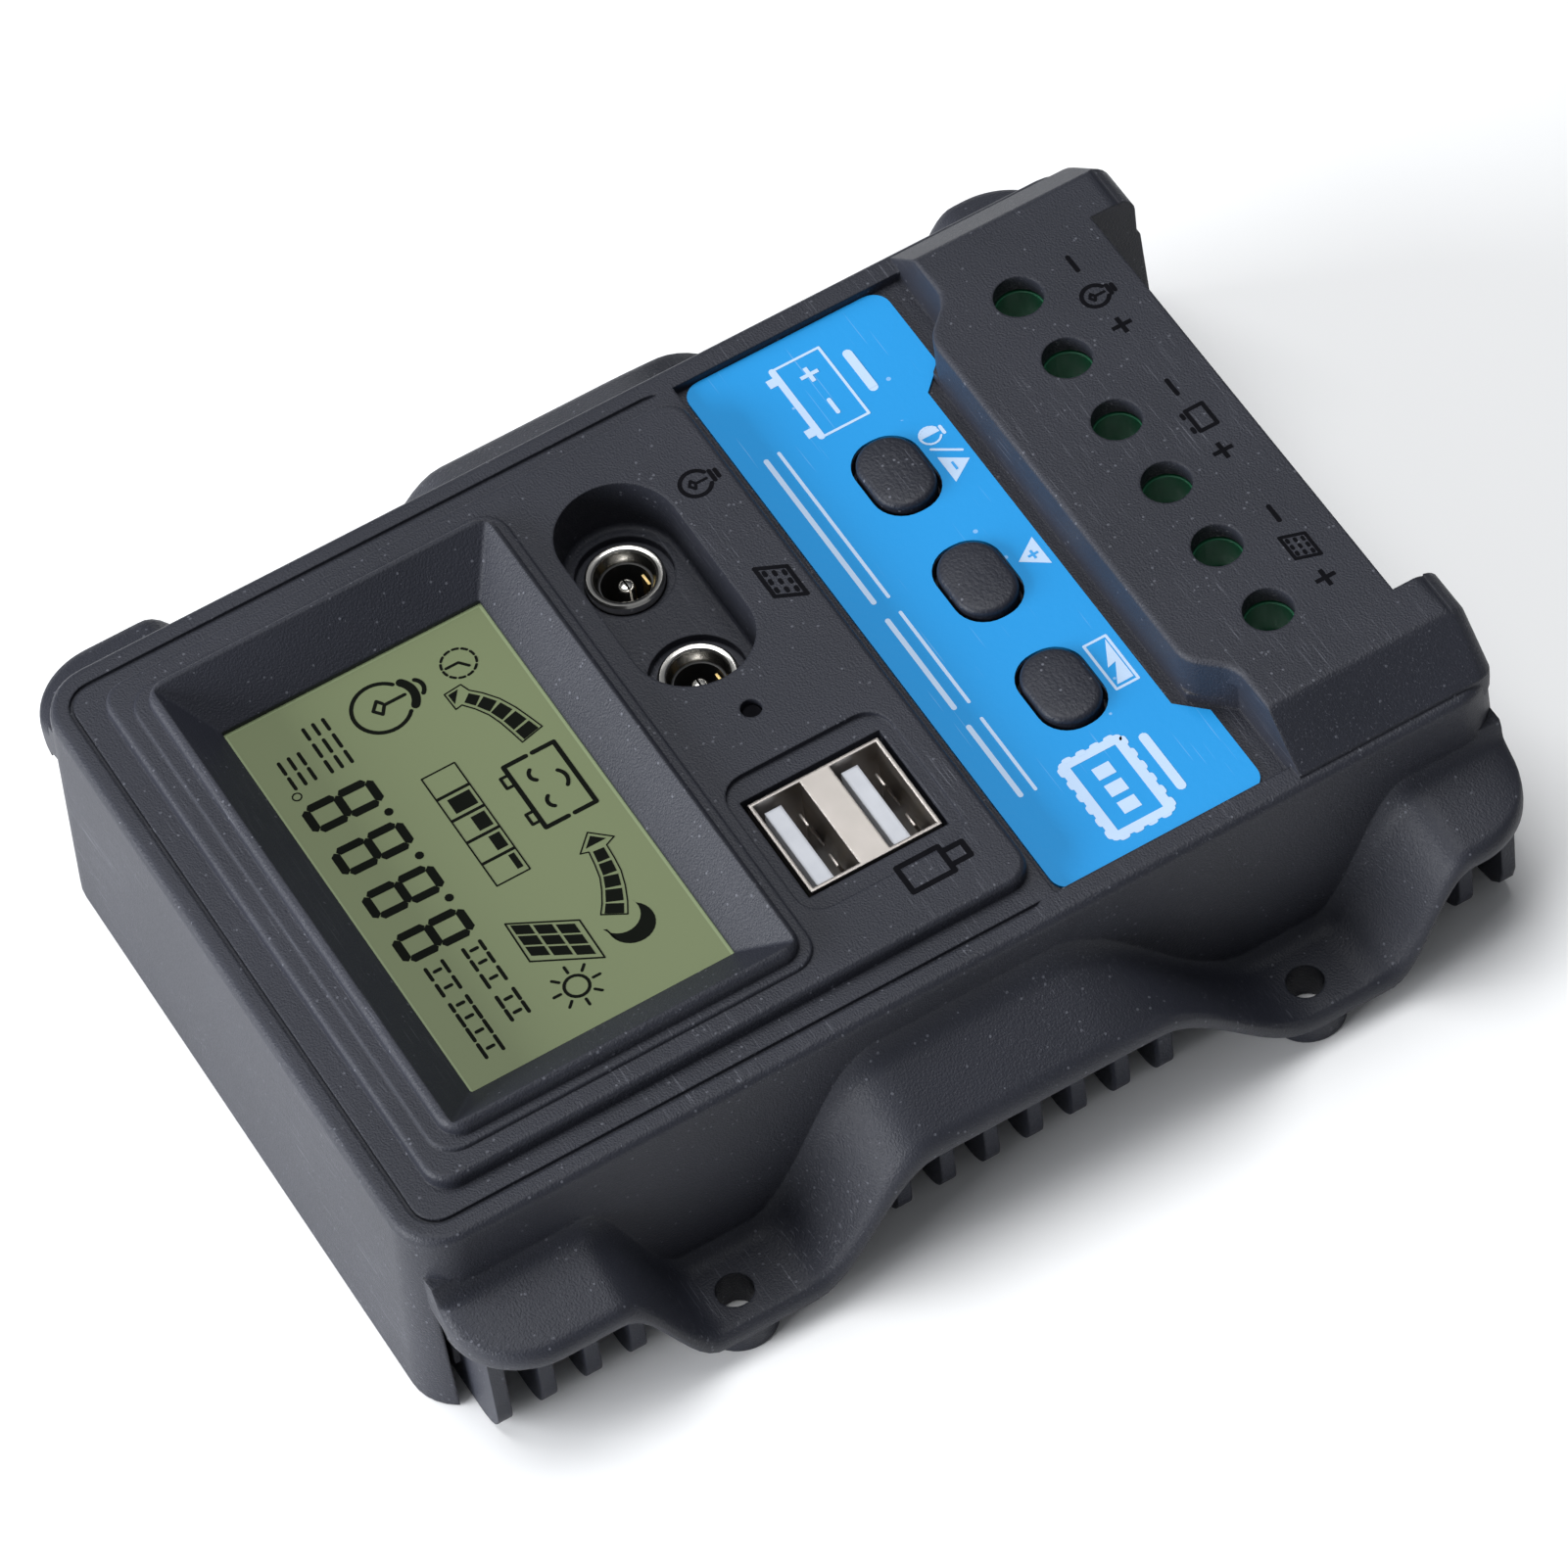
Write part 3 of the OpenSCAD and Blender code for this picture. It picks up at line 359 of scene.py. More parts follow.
body = slab(rounded(-HALF_W, HALF_W, -HALF_L, HALF_L, 6, 8), 0, RIM)
for v in body.verts:
    if v.co.z > RIM / 2:
        v.co.y *= (HALF_L - 1.4) / HALF_L
soften(body, 1.1, lambda c: c.z > RIM - 0.1)
case = solid(body)
combine(case, [under_flange(1), under_flange(-1)], "DIFFERENCE")

deck = soften(slab(rounded(-37.75, 37.75, -11.3, 60.1, 3), RIM - 1, DECK), 0.7,
              lambda c: c.z > DECK - 0.1)
ledge = soften(slab(rounded(-35.2, 35.2, 12.7, 58, 3.2), DECK - 1, DECK + 0.45), 0.3,
               lambda c: c.z > DECK + 0.4)
bezel = soften(slab(rounded(-34.05, 34.05, 13.95, 56.35, 2.6), DECK - 0.5, BEZEL), 0.9,
               lambda c: c.z > BEZEL - 0.1)

housing = slab([(-42, -65.2), (42, -65.2), (42, -40.7), (29.9, -40.7), (26, -36.6), (-26, -36.6),
                (-29.9, -40.7), (-42, -40.7)], 27, ROOF)
for side in (-1, 1):
    everything = housing.verts[:] + housing.edges[:] + housing.faces[:]
    cut = bmesh.ops.bisect_plane(housing, geom=everything, dist=0.0001, plane_co=(side * 36.2, 0, ROOF),
                                 plane_no=(side * 5.5, 0, 5.8), clear_outer=True)
    rim_edges = [e for e in cut["geom_cut"] if isinstance(e, bmesh.types.BMEdge)]
    bmesh.ops.edgeloop_fill(housing, edges=rim_edges)
bmesh.ops.recalc_face_normals(housing, faces=housing.faces)
upright = [e for e in housing.edges
           if abs(e.verts[0].co.z - e.verts[1].co.z) > 5 and abs(e.verts[0].co.x) < 31]
bmesh.ops.bevel(housing, geom=upright, offset=1.6, offset_type="OFFSET", segments=4, profile=0.5,
                affect="EDGES", clamp_overlap=True, material=-1)
soften(housing, 4.5, lambda c: c.y < -65 and abs(c.x) > 36.1, 6)
soften(housing, 1.3, lambda c: c.z > 30.8 and (abs(c.z - ROOF) < 0.01 or c.y > -45), 4)

feet = [disc(side * HOLE_X, y, 0, LOW - 1, FOOT_R) for side in (-1, 1) for y in HOLES_Y]
FIN_X = 48.5
rib = slab([(38, 0), (FIN_X - 4.5, 0), (FIN_X - 2.25, 0.6), (FIN_X - 0.6, 2.25), (FIN_X, 4.5), (FIN_X, 15.2),
            (38, 15.2)], -62.45, -60.75, "Y")
mirrored = rib.copy()
bmesh.ops.scale(mirrored, vec=(-1, 1, 1), verts=mirrored.verts)
bmesh.ops.recalc_face_normals(mirrored, faces=mirrored.faces)
combine(case, [solid(bm) for bm in (deck, ledge, bezel, housing, *feet, rib, mirrored)]
        + [flange(1), flange(-1)], "UNION")

pit = slab(rounded(-WINDOW_X, WINDOW_X, WINDOW_Y0, WINDOW_Y1, 0.3, 3), WINDOW, BEZEL + 0.02)
for v in pit.verts:
    if v.co.z > BEZEL:
        v.co.x *= 33.15 / WINDOW_X
        v.co.y = 34.95 + (v.co.y - 34.95) * 20.4 / 15.75
cutters = [
    pit,
    box(-WINDOW_X, WINDOW_X, WINDOW_Y0, WINDOW_Y1, 25, WINDOW + 0.01),
    box(-30, 30, 16.9, 53, 25, 28.35),
    box(-RECESS_X, RECESS_X, -70, RECESS_Y, -1, 40),
    box(-41, 41, -57.5, 63.4, -1, 26.6),
    box(-39, 39, -9.8, 61.4, 26.5, 27.8),
    box(-34.2, 34.2, -57.5, -42.7, 26.5, 33.8),
    box(-25, 25, -44, -38.6, 26.5, 33.8),
    slab([(-40.1, -12), (-40.1, -40.7), (-30, -40.7), (-26, -36.6), (26, -36.6), (30, -40.7), (40.1, -40.7),
          (40.1, -12)], SHELF, 33),
    slab(rounded(-29.95, -10.15, -8.4, 11.4, 3, 5), DECK - 0.7, 40),
    box(-27.3, -12.8, -7.0, 10.0, 25, 40),
    disc(-3.3, 3.0, 25, 40, 1.2, 24),
]
for side in (-1, 1):
    for y in HOLES_Y:
        cutters.append(disc(side * HOLE_X, y, -1, 14, HOLE_R, 32))
for x in POLES:
    cutters.append(disc(x, POLE_Y, 33, 40, 2.8, 40))
    cutters.append(box(x - 3.7, x + 3.7, RECESS_Y - 1, -57, 12.6, 19.4))
for x in KEYS.values():
    cutters.append(slab(rounded(x - 5.4, x + 5.4, KEY_Y - 3.9, KEY_Y + 3.9, 3.2, 6), 25, 32))
combine(case, [solid(bm) for bm in cutters], "DIFFERENCE")
combine(case, [solid(slab(rounded(0.3, 33.1, -5.0, 11.8, 8.3, 11), 22.6, 28.7))], "UNION")
pocket = soften(slab(rounded(1.8, 31.6, -3.5, 10.3, 6.88, 12), 24.4, 40), 0.6, lambda c: c.z < 25)
sockets = [pocket]
for x in JACKS_X:
    sockets.append(disc(x, JACK_Y, 23.3, 25, 5.5, 48))
    sockets.append(disc(x, JACK_Y, 20, 25, 4.5, 48))
combine(case, [solid(bm) for bm in sockets], "DIFFERENCE")

groove = slab(rounded(-40.7, 40.7, -11.9, 63.4, 3.4, 6), RIM - 0.45, RIM + 1)
inner = solid(slab(rounded(-40.2, 40.2, -14, 62.9, 2.9, 6), RIM - 1, RIM + 2))
ring = combine(solid(groove), [inner], "DIFFERENCE")
combine(case, [ring], "DIFFERENCE")
settle(case, "upper_case_shell", "housing", case_plastic, ["upper_case"], weighted=True)

# ---- Engraved marks ----
# Signs on the housing's roof and the deck: plus, minus, a panel, a battery and a bulb
# beside what they belong to. They are thin near-black sheets a hair above the plastic,
# made of strips with round ends. Their black is painted shade, standing in for the shade
# inside the engraved lines.
LIFT, LIFTS = 0.0007, 37


def arc(x, y, r, start, end, count=14):
    return [(x + r * math.cos(math.radians(start + (end - start) * k / count)),
             y + r * math.sin(math.radians(start + (end - start) * k / count))) for k in range(count + 1)]


def lifted(bm, z):
    """A height a hair above the last shape, so that no two of them share a plane."""
    return z + LIFT * (len(bm.faces) % LIFTS)


def stroke(bm, points, width, z, closed=False, dots=True):
    """One drawn line: a strip for each stretch and a dot at each corner."""
    ends = points[1:] + points[:1] if closed else points[1:]
    for a, b in zip(points, ends):
        a, b = Vector(a), Vector(b)
        middle = (a + b) / 2
        lay = Matrix.Translation((middle.x, middle.y, lifted(bm, z))) @ Matrix.Rotation(
            math.atan2((b - a).y, (b - a).x), 4, "Z") @ Matrix.Diagonal(((b - a).length / 2, width / 2, 1, 1))
        bmesh.ops.create_grid(bm, x_segments=1, y_segments=1, size=1, matrix=lay)
    if dots:
        for x, y in points:
            bmesh.ops.create_circle(bm, cap_ends=True, segments=10, radius=width / 2,
                                    matrix=Matrix.Translation((x, y, lifted(bm, z))))


def fill(bm, points, z):
    high = lifted(bm, z)
    face = bm.faces.new([bm.verts.new((x, y, high)) for x, y in points])
    face.normal_update()
    if face.normal.z < 0:
        face.normal_flip()


def plus(bm, x, y, size, width, z):
    stroke(bm, [(x - size, y), (x + size, y)], width, z, dots=False)
    stroke(bm, [(x, y - size), (x, y + size)], width, z, dots=False)


def bulb_mark(bm, x, y, r, width, z):
    stroke(bm, arc(x, y, r, -60, 240, 18), width, z)
    stroke(bm, [(x - r * 0.42, y - r * 1.15), (x + r * 0.42, y - r * 1.15)], width, z)
    stroke(bm, [(x - r * 0.3, y - r * 1.5), (x + r * 0.3, y - r * 1.5)], width, z)
    stroke(bm, [(x, y - r * 0.75), (x, y), (x - r * 0.35, y + r * 0.2), (x, y + r * 0.45),
                (x + r * 0.35, y + r * 0.2), (x, y)], width * 0.7, z)


def panel_mark(bm, x, y, w, h, lean, width, z):
    """A leaning frame with a grid of dots."""
    stroke(bm, [(x - w / 2 - lean, y - h / 2), (x + w / 2 - lean, y - h / 2), (x + w / 2 + lean, y + h / 2),
                (x - w / 2 + lean, y + h / 2)], width, z, closed=True)
    for i in range(3):
        for j in range(3):
            px = x + (i - 1) * w / 3.4 + (j - 1) * lean * 0.62
            py = y + (j - 1) * h / 3.3
            stroke(bm, [(px - w * 0.05, py), (px + w * 0.05, py)], width, z)


def laid(bm, name, paint, depth):
    """Gives flat shapes a hair of depth, in metres, and settles them on the housing."""
    sheet = solid(bm)
    deep = sheet.modifiers.new("deep", "SOLIDIFY")
    deep.thickness = depth
    deep.offset = -1
    settle(sheet, name, "housing", paint, flat=True)


marks = bmesh.new()
roof_mark, deck_mark, mark_y = ROOF + 0.012, DECK + 0.012, -54.7
for x in (-25.2, -4.8, 15.8):
    plus(marks, x, mark_y, 1.2, 0.55, roof_mark)
for x in (-15.0, 5.5, 26.0):
    stroke(marks, [(x - 1.1, mark_y), (x + 1.1, mark_y)], 0.55, roof_mark)
panel_mark(marks, -20.2, mark_y, 3.3, 2.6, 0.45, 0.42, roof_mark)
stroke(marks, [(-1.3, -56.2), (1.9, -56.2), (1.9, -54.1), (-1.3, -54.1)], 0.5, roof_mark, closed=True)
for x in (-0.8, 1.4):
    stroke(marks, [(x - 0.25, -53.5), (x + 0.25, -53.5)], 0.5, roof_mark)
bulb_mark(marks, 20.8, -54.4, 1.5, 0.5, roof_mark)
bulb_mark(marks, 25.9, -7.0, 1.75, 0.5, deck_mark)
panel_mark(marks, 9.4, -8.0, 4.4, 3.1, 0.8, 0.5, deck_mark)
stroke(marks, [(-33.2, 0.8), (-29.6, 0.8), (-29.6, -4.2), (-33.2, -4.2)], 0.65, deck_mark, closed=True)
stroke(marks, [(-32.4, -4.4), (-32.4, -6.6), (-30.4, -6.6), (-30.4, -4.4)], 0.65, deck_mark)
# Near-black painted shade: it stands in for the shade inside the engraved lines, and in the hole over the
# status light.
painted_shade_black, place = finish("mark_shadow", Roughness=0.9, Specular_IOR_Level=0.05)
set_sockets(painted_shade_black, Base_Color=place.noise(900).blend((0.003, 0.003, 0.004, 1), (0.006, 0.006, 0.008, 1)))
laid(marks, "engraved_mark_shade", painted_shade_black, 0.00002)

# ---- Label ----
# A printed blue film with round corners, stuck in its recess round the three keys.
# The pictograms and bars are a pale print on it.
LABEL_TOP = 29.0
film, place = finish("label_film", Roughness=0.42, Specular_IOR_Level=0.2)
scuff = place.node("Mapping", Vector=place, Rotation=(0, 0, 0.4), Scale=(90, 4200, 90))
scuff = scuff.noise(1, 1).spread(0.74, 0.8)
dust = (place.node("TexVoronoi", Vector=place, Scale=260.0) < 0.07) * (place.noise(60, 0) > 0.62)
blue = place.noise(40, 2).blend((0.012, 0.260, 0.62, 1), (0.015, 0.278, 0.65, 1))
set_sockets(film, Base_Color=(scuff * 0.14 + dust * 0.3).blend(blue, (0.6, 0.75, 0.9, 1)),
            Normal=place.node("Bump", Strength=0.12, Distance=0.0001, Height=place.noise(1500, 2)))
label = slab(rounded(-40, 40, -38, -12.7, 2.2, 6), SHELF, LABEL_TOP)
notch = slab([(-28.6, -39), (-28.6, -38), (-25.6, -35), (24.6, -35), (27.6, -38), (27.6, -39)], 28, 30)
holes = [slab(rounded(x - 5.65, x + 5.65, KEY_Y - 4.0, KEY_Y + 4.0, 3.7, 8), 28, 30)
         for x in KEYS.values()]
sticker = combine(solid(label), [solid(notch)] + [solid(h) for h in holes], "DIFFERENCE")
settle(sticker, "label_film", "housing", film, ["label_overlay"])

pale, place = finish("label_print", Roughness=0.45)
set_sockets(pale, Base_Color=place.noise(300).blend((0.42, 0.56, 0.76, 1), (0.48, 0.62, 0.80, 1)))
blue_print, place = finish("label_blue_print", Roughness=0.42)
set_sockets(blue_print, Base_Color=place.noise(40).blend((0.016, 0.285, 0.68, 1), (0.020, 0.305, 0.71, 1)))
print_z = LABEL_TOP + 0.01
over_z = print_z + 0.035
prints, knockout = bmesh.new(), bmesh.new()
for x0, x1 in ((-27.4, -15.8), (-13.8, 1.0), (2.9, 26.8)):
    stroke(prints, [(x0 + 0.5, -15.7), (x1 - 0.5, -15.7)], 0.6, print_z)
    stroke(prints, [(x0 + 0.3, -17.4), (x1 - 0.3, -17.4)], 0.4, print_z)
stroke(prints, [(-37, -21.25), (-26.3, -21.25), (-26.3, -27.85), (-37, -27.85)], 1.1, print_z, closed=True)
for k in range(6):
    for y in (-20.75, -28.35):
        stroke(prints, [(-36.4 + 1.9 * k - 0.3, y), (-36.4 + 1.9 * k + 0.3, y)], 0.7, print_z)
for k in range(4):
    for x in (-37.5, -25.8):
        stroke(prints, [(x, -22 - 1.7 * k - 0.25), (x, -22 - 1.7 * k + 0.25)], 0.7, print_z)
for k in range(3):
    x = -34.2 + 2.55 * k
    fill(prints, [(x - 0.85, -25.6), (x + 0.85, -25.6), (x + 0.85, -23.5), (x - 0.85, -23.5)], print_z)
stroke(prints, [(-35.2, -30.3), (-27.7, -30.3)], 1.1, print_z)
stroke(prints, [(25.9, -22.4), (36.6, -22.4)], 0.8, print_z)
stroke(prints, [(25.8, -22.3), (36.7, -22.3), (36.7, -28.3), (25.8, -28.3)], 0.32, print_z, closed=True)
for x in (26.95, 35.2):
    fill(prints, [(x - 0.6, -22.1), (x + 0.6, -22.1), (x + 0.6, -21.1), (x - 0.6, -21.1)], print_z)
stroke(prints, [(27.8, -25.6), (29.8, -25.6)], 0.5, print_z)
plus(prints, 34.0, -25.6, 1.1, 0.5, print_z)
stroke(prints, [(28.6, -30.5), (34.2, -30.5)], 1.1, print_z)
stroke(prints, [(-20.8, -31.2), (-14.1, -31.2), (-14.1, -33.9), (-20.8, -33.9)], 0.32, print_z, closed=True)
fill(prints, [(-20.3, -31.6), (-17.6, -33.0), (-17.9, -31.9), (-14.5, -33.6), (-20.3, -33.6)], print_z)
fill(prints, [(-2.7, -34.2), (1.5, -34.2), (-0.6, -31.3)], print_z)
fill(prints, [(12.4, -31.3), (14.4, -34.2), (16.4, -31.3)], print_z)
stroke(prints, [(15.8, -34.1), (17.7, -31.3)], 0.32, print_z)
stroke(prints, arc(19.4, -32.2, 1.2, -60, 240), 0.26, print_z)
fill(prints, arc(19.4, -32.2, 1.2, -90, 90, 10), print_z)
stroke(prints, [(18.9, -33.7), (19.9, -33.7)], 0.4, print_z)
plus(knockout, -0.6, -33.1, 0.62, 0.3, over_z)
stroke(knockout, [(13.8, -32.3), (15.0, -32.3)], 0.3, over_z, dots=False)
laid(prints, "label_print", pale, 0.000008)
laid(knockout, "label_signs", blue_print, 0.000008)

# ---- Display ----
# A reflective liquid-crystal cell behind the window: olive glass with a paler edge,
# and its figures as near-black shapes a hair above it.
GLASS, GLASS_Y = 28.3, 34.95
cell, place = finish("lcd_cell", Roughness=0.34, Specular_IOR_Level=0.2)
axes = place.node("SeparateXYZ", Vector=place)
across = place.math("ABSOLUTE", axes)
along = place.math("ABSOLUTE", Shade(axes.tree, axes.socket.node.outputs["Y"]) - GLASS_Y / 1000)
rim = place.math("MAXIMUM", across > 0.02715, along > 0.01540)
olive = place.noise(25, 2).blend((0.136, 0.164, 0.082, 1), (0.147, 0.178, 0.089, 1))
set_sockets(cell, Base_Color=(rim * 0.5).blend(olive, (0.26, 0.32, 0.18, 1)))
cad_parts["lcd_glass"].material_slots[0].material = cell

figures = bmesh.new()
fig_z = GLASS + 0.02


def digit(bm, x):
    """A seven-segment eight, leaning a little."""
    w, t, centre = 3.15, 1.0, 44.3

    def lean(px, py):
        return px + (py - centre) * 0.028, py

    for y in (48.05, centre, 40.55):
        ends = [(x + 0.55, y), (x + 0.95, y + t / 2), (x + w + 0.2, y + t / 2), (x + w + 0.6, y),
                (x + w + 0.2, y - t / 2), (x + 0.95, y - t / 2)]
        fill(bm, [lean(*p) for p in ends], fig_z)
    for px in (x + 0.1, x + w + 0.05):
        for y0, y1 in ((40.8, 44.1), (44.5, 47.8)):
            fill(bm, [lean(px, y0 + 0.35), lean(px + 0.5, y0), lean(px + t, y0 + 0.35),
                      lean(px + t, y1 - 0.35), lean(px + 0.5, y1), lean(px, y1 - 0.35)], fig_z)


for x in (-9.8, -3.2, 3.5, 10.1):
    digit(figures, x)
for x in (-4.4, 2.1, 8.85):
    stroke(figures, [(x, 40.6), (x + 0.01, 40.6)], 1.0, fig_z)
upper_row = ((-24.2, -22.3), (-21.7, -20.0), (-19.5, -17.9), (-17.3, -16.3), (-15.0, -13.4), (-12.6, -11.0))
lower_row = ((-21.6, -20.2), (-19.7, -18.2), (-16.7, -14.9), (-14.1, -12.8), (-12.2, -11.0))
for y, spans in ((46.1, upper_row), (41.6, lower_row)):
    for x0, x1 in spans:
        stroke(figures, [(x0, y + 1.0), (x1, y + 1.0)], 0.42, fig_z)
        stroke(figures, [(x0, y - 1.0), (x1, y - 1.0)], 0.42, fig_z)
        stroke(figures, [((x0 + x1) / 2, y - 0.35), ((x0 + x1) / 2, y + 0.35)], 0.42, fig_z)
stroke(figures, arc(16.0, 47.8, 0.5, 0, 360), 0.16, fig_z)
for x0, x1, y in ((17.0, 18.6, 46.2), (19.3, 20.9, 46.2), (16.8, 18.4, 41.9), (19.2, 21.0, 41.9),
                  (21.9, 23.4, 41.9)):
    for up in (1.2, 0, -1.2):
        stroke(figures, [(x0, y + up), (x1, y + up)], 0.42, fig_z)
stroke(figures, arc(-21.6, 34.9, 1.35, 0, 360, 20), 0.36, fig_z)
for k in range(8):
    a = math.radians(45 * k)
    stroke(figures, [(-21.6 + 1.95 * math.cos(a), 34.9 + 1.95 * math.sin(a)),
                     (-21.6 + 2.75 * math.cos(a), 34.9 + 2.75 * math.sin(a))], 0.34, fig_z)
stroke(figures, [(-20.1, 30.7), (-14.5, 30.6), (-10.6, 37.35), (-16.2, 37.5)], 0.2, fig_z, closed=True)
for i in range(3):
    for j in range(3):
        x, y = -19.2 + 1.62 * i + 1.27 * j, 31.25 + 2.02 * j
        fill(figures, [(x, y), (x + 1.35, y), (x + 2.35, y + 1.72), (x + 1.0, y + 1.72)], fig_z)
stroke(figures, [(-5.9, 31.7), (10.6, 31.7), (10.6, 35.7), (-5.9, 35.7)], 0.18, fig_z, closed=True)
for x in (-2.6, 0.7, 4.0, 7.3):
    stroke(figures, [(x, 31.7), (x, 35.7)], 0.38, fig_z, dots=False)
for x0, x1, top in ((-5.2, -3.1, 32.8), (-1.95, 0.15, 33.4), (1.3, 3.4, 33.75), (4.6, 6.7, 34.75)):
    fill(figures, [(x0, 32.1), (x1, 32.1), (x1, top), (x0, top)], fig_z)
stroke(figures, arc(21.2, 34.75, 3.25, -50, 230, 30), 0.46, fig_z)
stroke(figures, [(21.4, 31.8), (21.4, 34.3), (20.4, 35.0), (21.3, 35.7), (22.3, 34.8), (21.7, 34.4)],
       0.4, fig_z)
stroke(figures, arc(21.3, 33.4, 2.6, -132, -48, 8), 1.0, fig_z)
stroke(figures, arc(21.5, 30.9, 1.35, -140, -40, 8), 0.5, fig_z)
fill(figures, arc(-17.8, 26.25, 2.6, 75, 320, 20) + arc(-16.2, 26.9, 2.35, 292, 108, 14), fig_z)
arrows = ((((-15.9, 27.2), (-14.6, 26.4), (-12.9, 25.6), (-11.2, 25.0), (-9.4, 24.7), (-7.6, 24.5)),
           ((-7.2, 22.3), (-5.2, 24.4), (-7.2, 26.4))),
          (((9.2, 23.0), (10.9, 23.4), (12.8, 23.9), (14.6, 24.6), (16.2, 25.6), (17.4, 26.6)),
           ((19.2, 26.2), (19.0, 28.3), (16.6, 28.2))))
for line, tip in arrows:
    for k, (a, b) in enumerate(zip(line, line[1:])):
        a, b = Vector(a), Vector(b)
        side = Vector((-(b - a).y, (b - a).x)).normalized()
        w = 1.05 - 0.09 * k
        inset = (b - a) * 0.08
        fill(figures, [tuple(a + inset - side * w * 0.98), tuple(b - inset - side * w * 0.92),
                       tuple(b - inset + side * w * 0.92), tuple(a + inset + side * w * 0.98)], fig_z)
    runs = [Vector(b) - Vector(a) for a, b in zip(line, line[1:])]
    runs.append(runs[-1])
    right, left = [[tuple(Vector(a) + Vector((-d.y, d.x)).normalized() * sign * (1.42 - 0.08 * k))
                    for k, (a, d) in enumerate(zip(line, runs))] for sign in (-1, 1)]
    stroke(figures, right + list(tip) + left[::-1], 0.16, fig_z, closed=True)
    middle = (Vector(tip[0]) + Vector(tip[1]) + Vector(tip[2])) / 3
    fill(figures, [tuple(middle.lerp(Vector(corner), 0.6)) for corner in tip], fig_z)
stroke(figures, [(-2.2, 25.0), (-2.2, 27.7), (7.1, 27.7), (7.1, 25.0)], 0.55, fig_z)
stroke(figures, [(-2.2, 24.2), (-2.2, 21.6), (7.1, 21.6), (7.1, 24.2)], 0.55, fig_z)
for x in (-0.35, 5.2):
    stroke(figures, [(x - 0.75, 28.0), (x - 0.75, 28.7), (x + 0.75, 28.7), (x + 0.75, 28.0)], 0.36, fig_z)
stroke(figures, arc(0.5, 25.0, 0.95, 35, 145, 8), 0.45, fig_z)
stroke(figures, arc(4.5, 25.0, 0.95, 35, 145, 8), 0.45, fig_z)
stroke(figures, arc(2.5, 24.2, 1.6, 225, 315, 8), 0.45, fig_z)
for k in range(12):
    stroke(figures, arc(21.8, 25.0, 1.95, 30 * k + 4, 30 * k + 22, 3), 0.3, fig_z)
stroke(figures, [(21.9, 26.5), (21.9, 25.0), (20.9, 24.2)], 0.34, fig_z)
lcd_ink, place = finish("lcd_ink", Roughness=0.6, Specular_IOR_Level=0.04)
set_sockets(lcd_ink, Base_Color=place.noise(200).blend((0.002, 0.003, 0.002, 1), (0.005, 0.006, 0.004, 1)))
laid(figures, "lcd_figures", lcd_ink, 0.00001)

# ---- Keys ----
# Three hard plastic caps with round ends and softly crowned tops. Each stands on the
# plunger of its switch, and its skirt holds it under the case.
KEY_TOP = 29.95
key_plastic = moulded("key_plastic", (0.0145, 0.0160, 0.0235, 1), (0.0190, 0.0205, 0.0290, 1),
                      0.46, 2600, edge=0.0002, wear=1.5)
for name, x in KEYS.items():
    cap = slab(rounded(x - 5.1, x + 5.1, KEY_Y - 3.6, KEY_Y + 3.6, 3.5, 10), 26.28, KEY_TOP)
    soften(cap, 0.75, lambda c: c.z > KEY_TOP - 0.05, 5)
    top = [f for f in cap.faces if f.normal.z > 0.99 and f.calc_center_median().z > KEY_TOP - 0.05]
    for inset in (1.0, 0.9):
        bmesh.ops.inset_region(cap, faces=top, thickness=inset)
        bmesh.ops.translate(cap, verts=list({v for f in top for v in f.verts}), vec=(0, 0, 0.07))
    skirt = slab(rounded(x - 6.1, x + 6.1, KEY_Y - 4.6, KEY_Y + 4.6, 3, 6), 25.2, 26.3)
    stem = disc(x, KEY_Y, 24.9, 25.4, 1.65, 24)
    key = combine(solid(cap), [solid(skirt), solid(stem)], "UNION")
    settle(key, "key_" + name, "key_" + name, key_plastic, ["key_cap_" + name],
           sharp=40, weighted=True)

# ---- Power jacks ----
# Turned, nickel-plated sleeves with a stepped mouth and a split centre pin in each, and a
# black plastic liner inside. All are spun from a profile.
JACK_FLOOR = 12.6


def lathe(x, profile, steps, closed=False):
    """A profile of radius and height, spun about the upright axis of the jack at x."""
    bm = bmesh.new()
    loop = [bm.verts.new((x + r, JACK_Y, z)) for r, z in profile]
    edges = [bm.edges.new(pair) for pair in zip(loop, loop[1:] + loop[:1] if closed else loop[1:])]
    bmesh.ops.spin(bm, geom=loop + edges, cent=(x, JACK_Y, 0), axis=(0, 0, 1), angle=2 * math.pi,
                   steps=steps, use_merge=True)
    bmesh.ops.remove_doubles(bm, verts=bm.verts, dist=0.001)
    bmesh.ops.recalc_face_normals(bm, faces=bm.faces)
    return solid(bm)


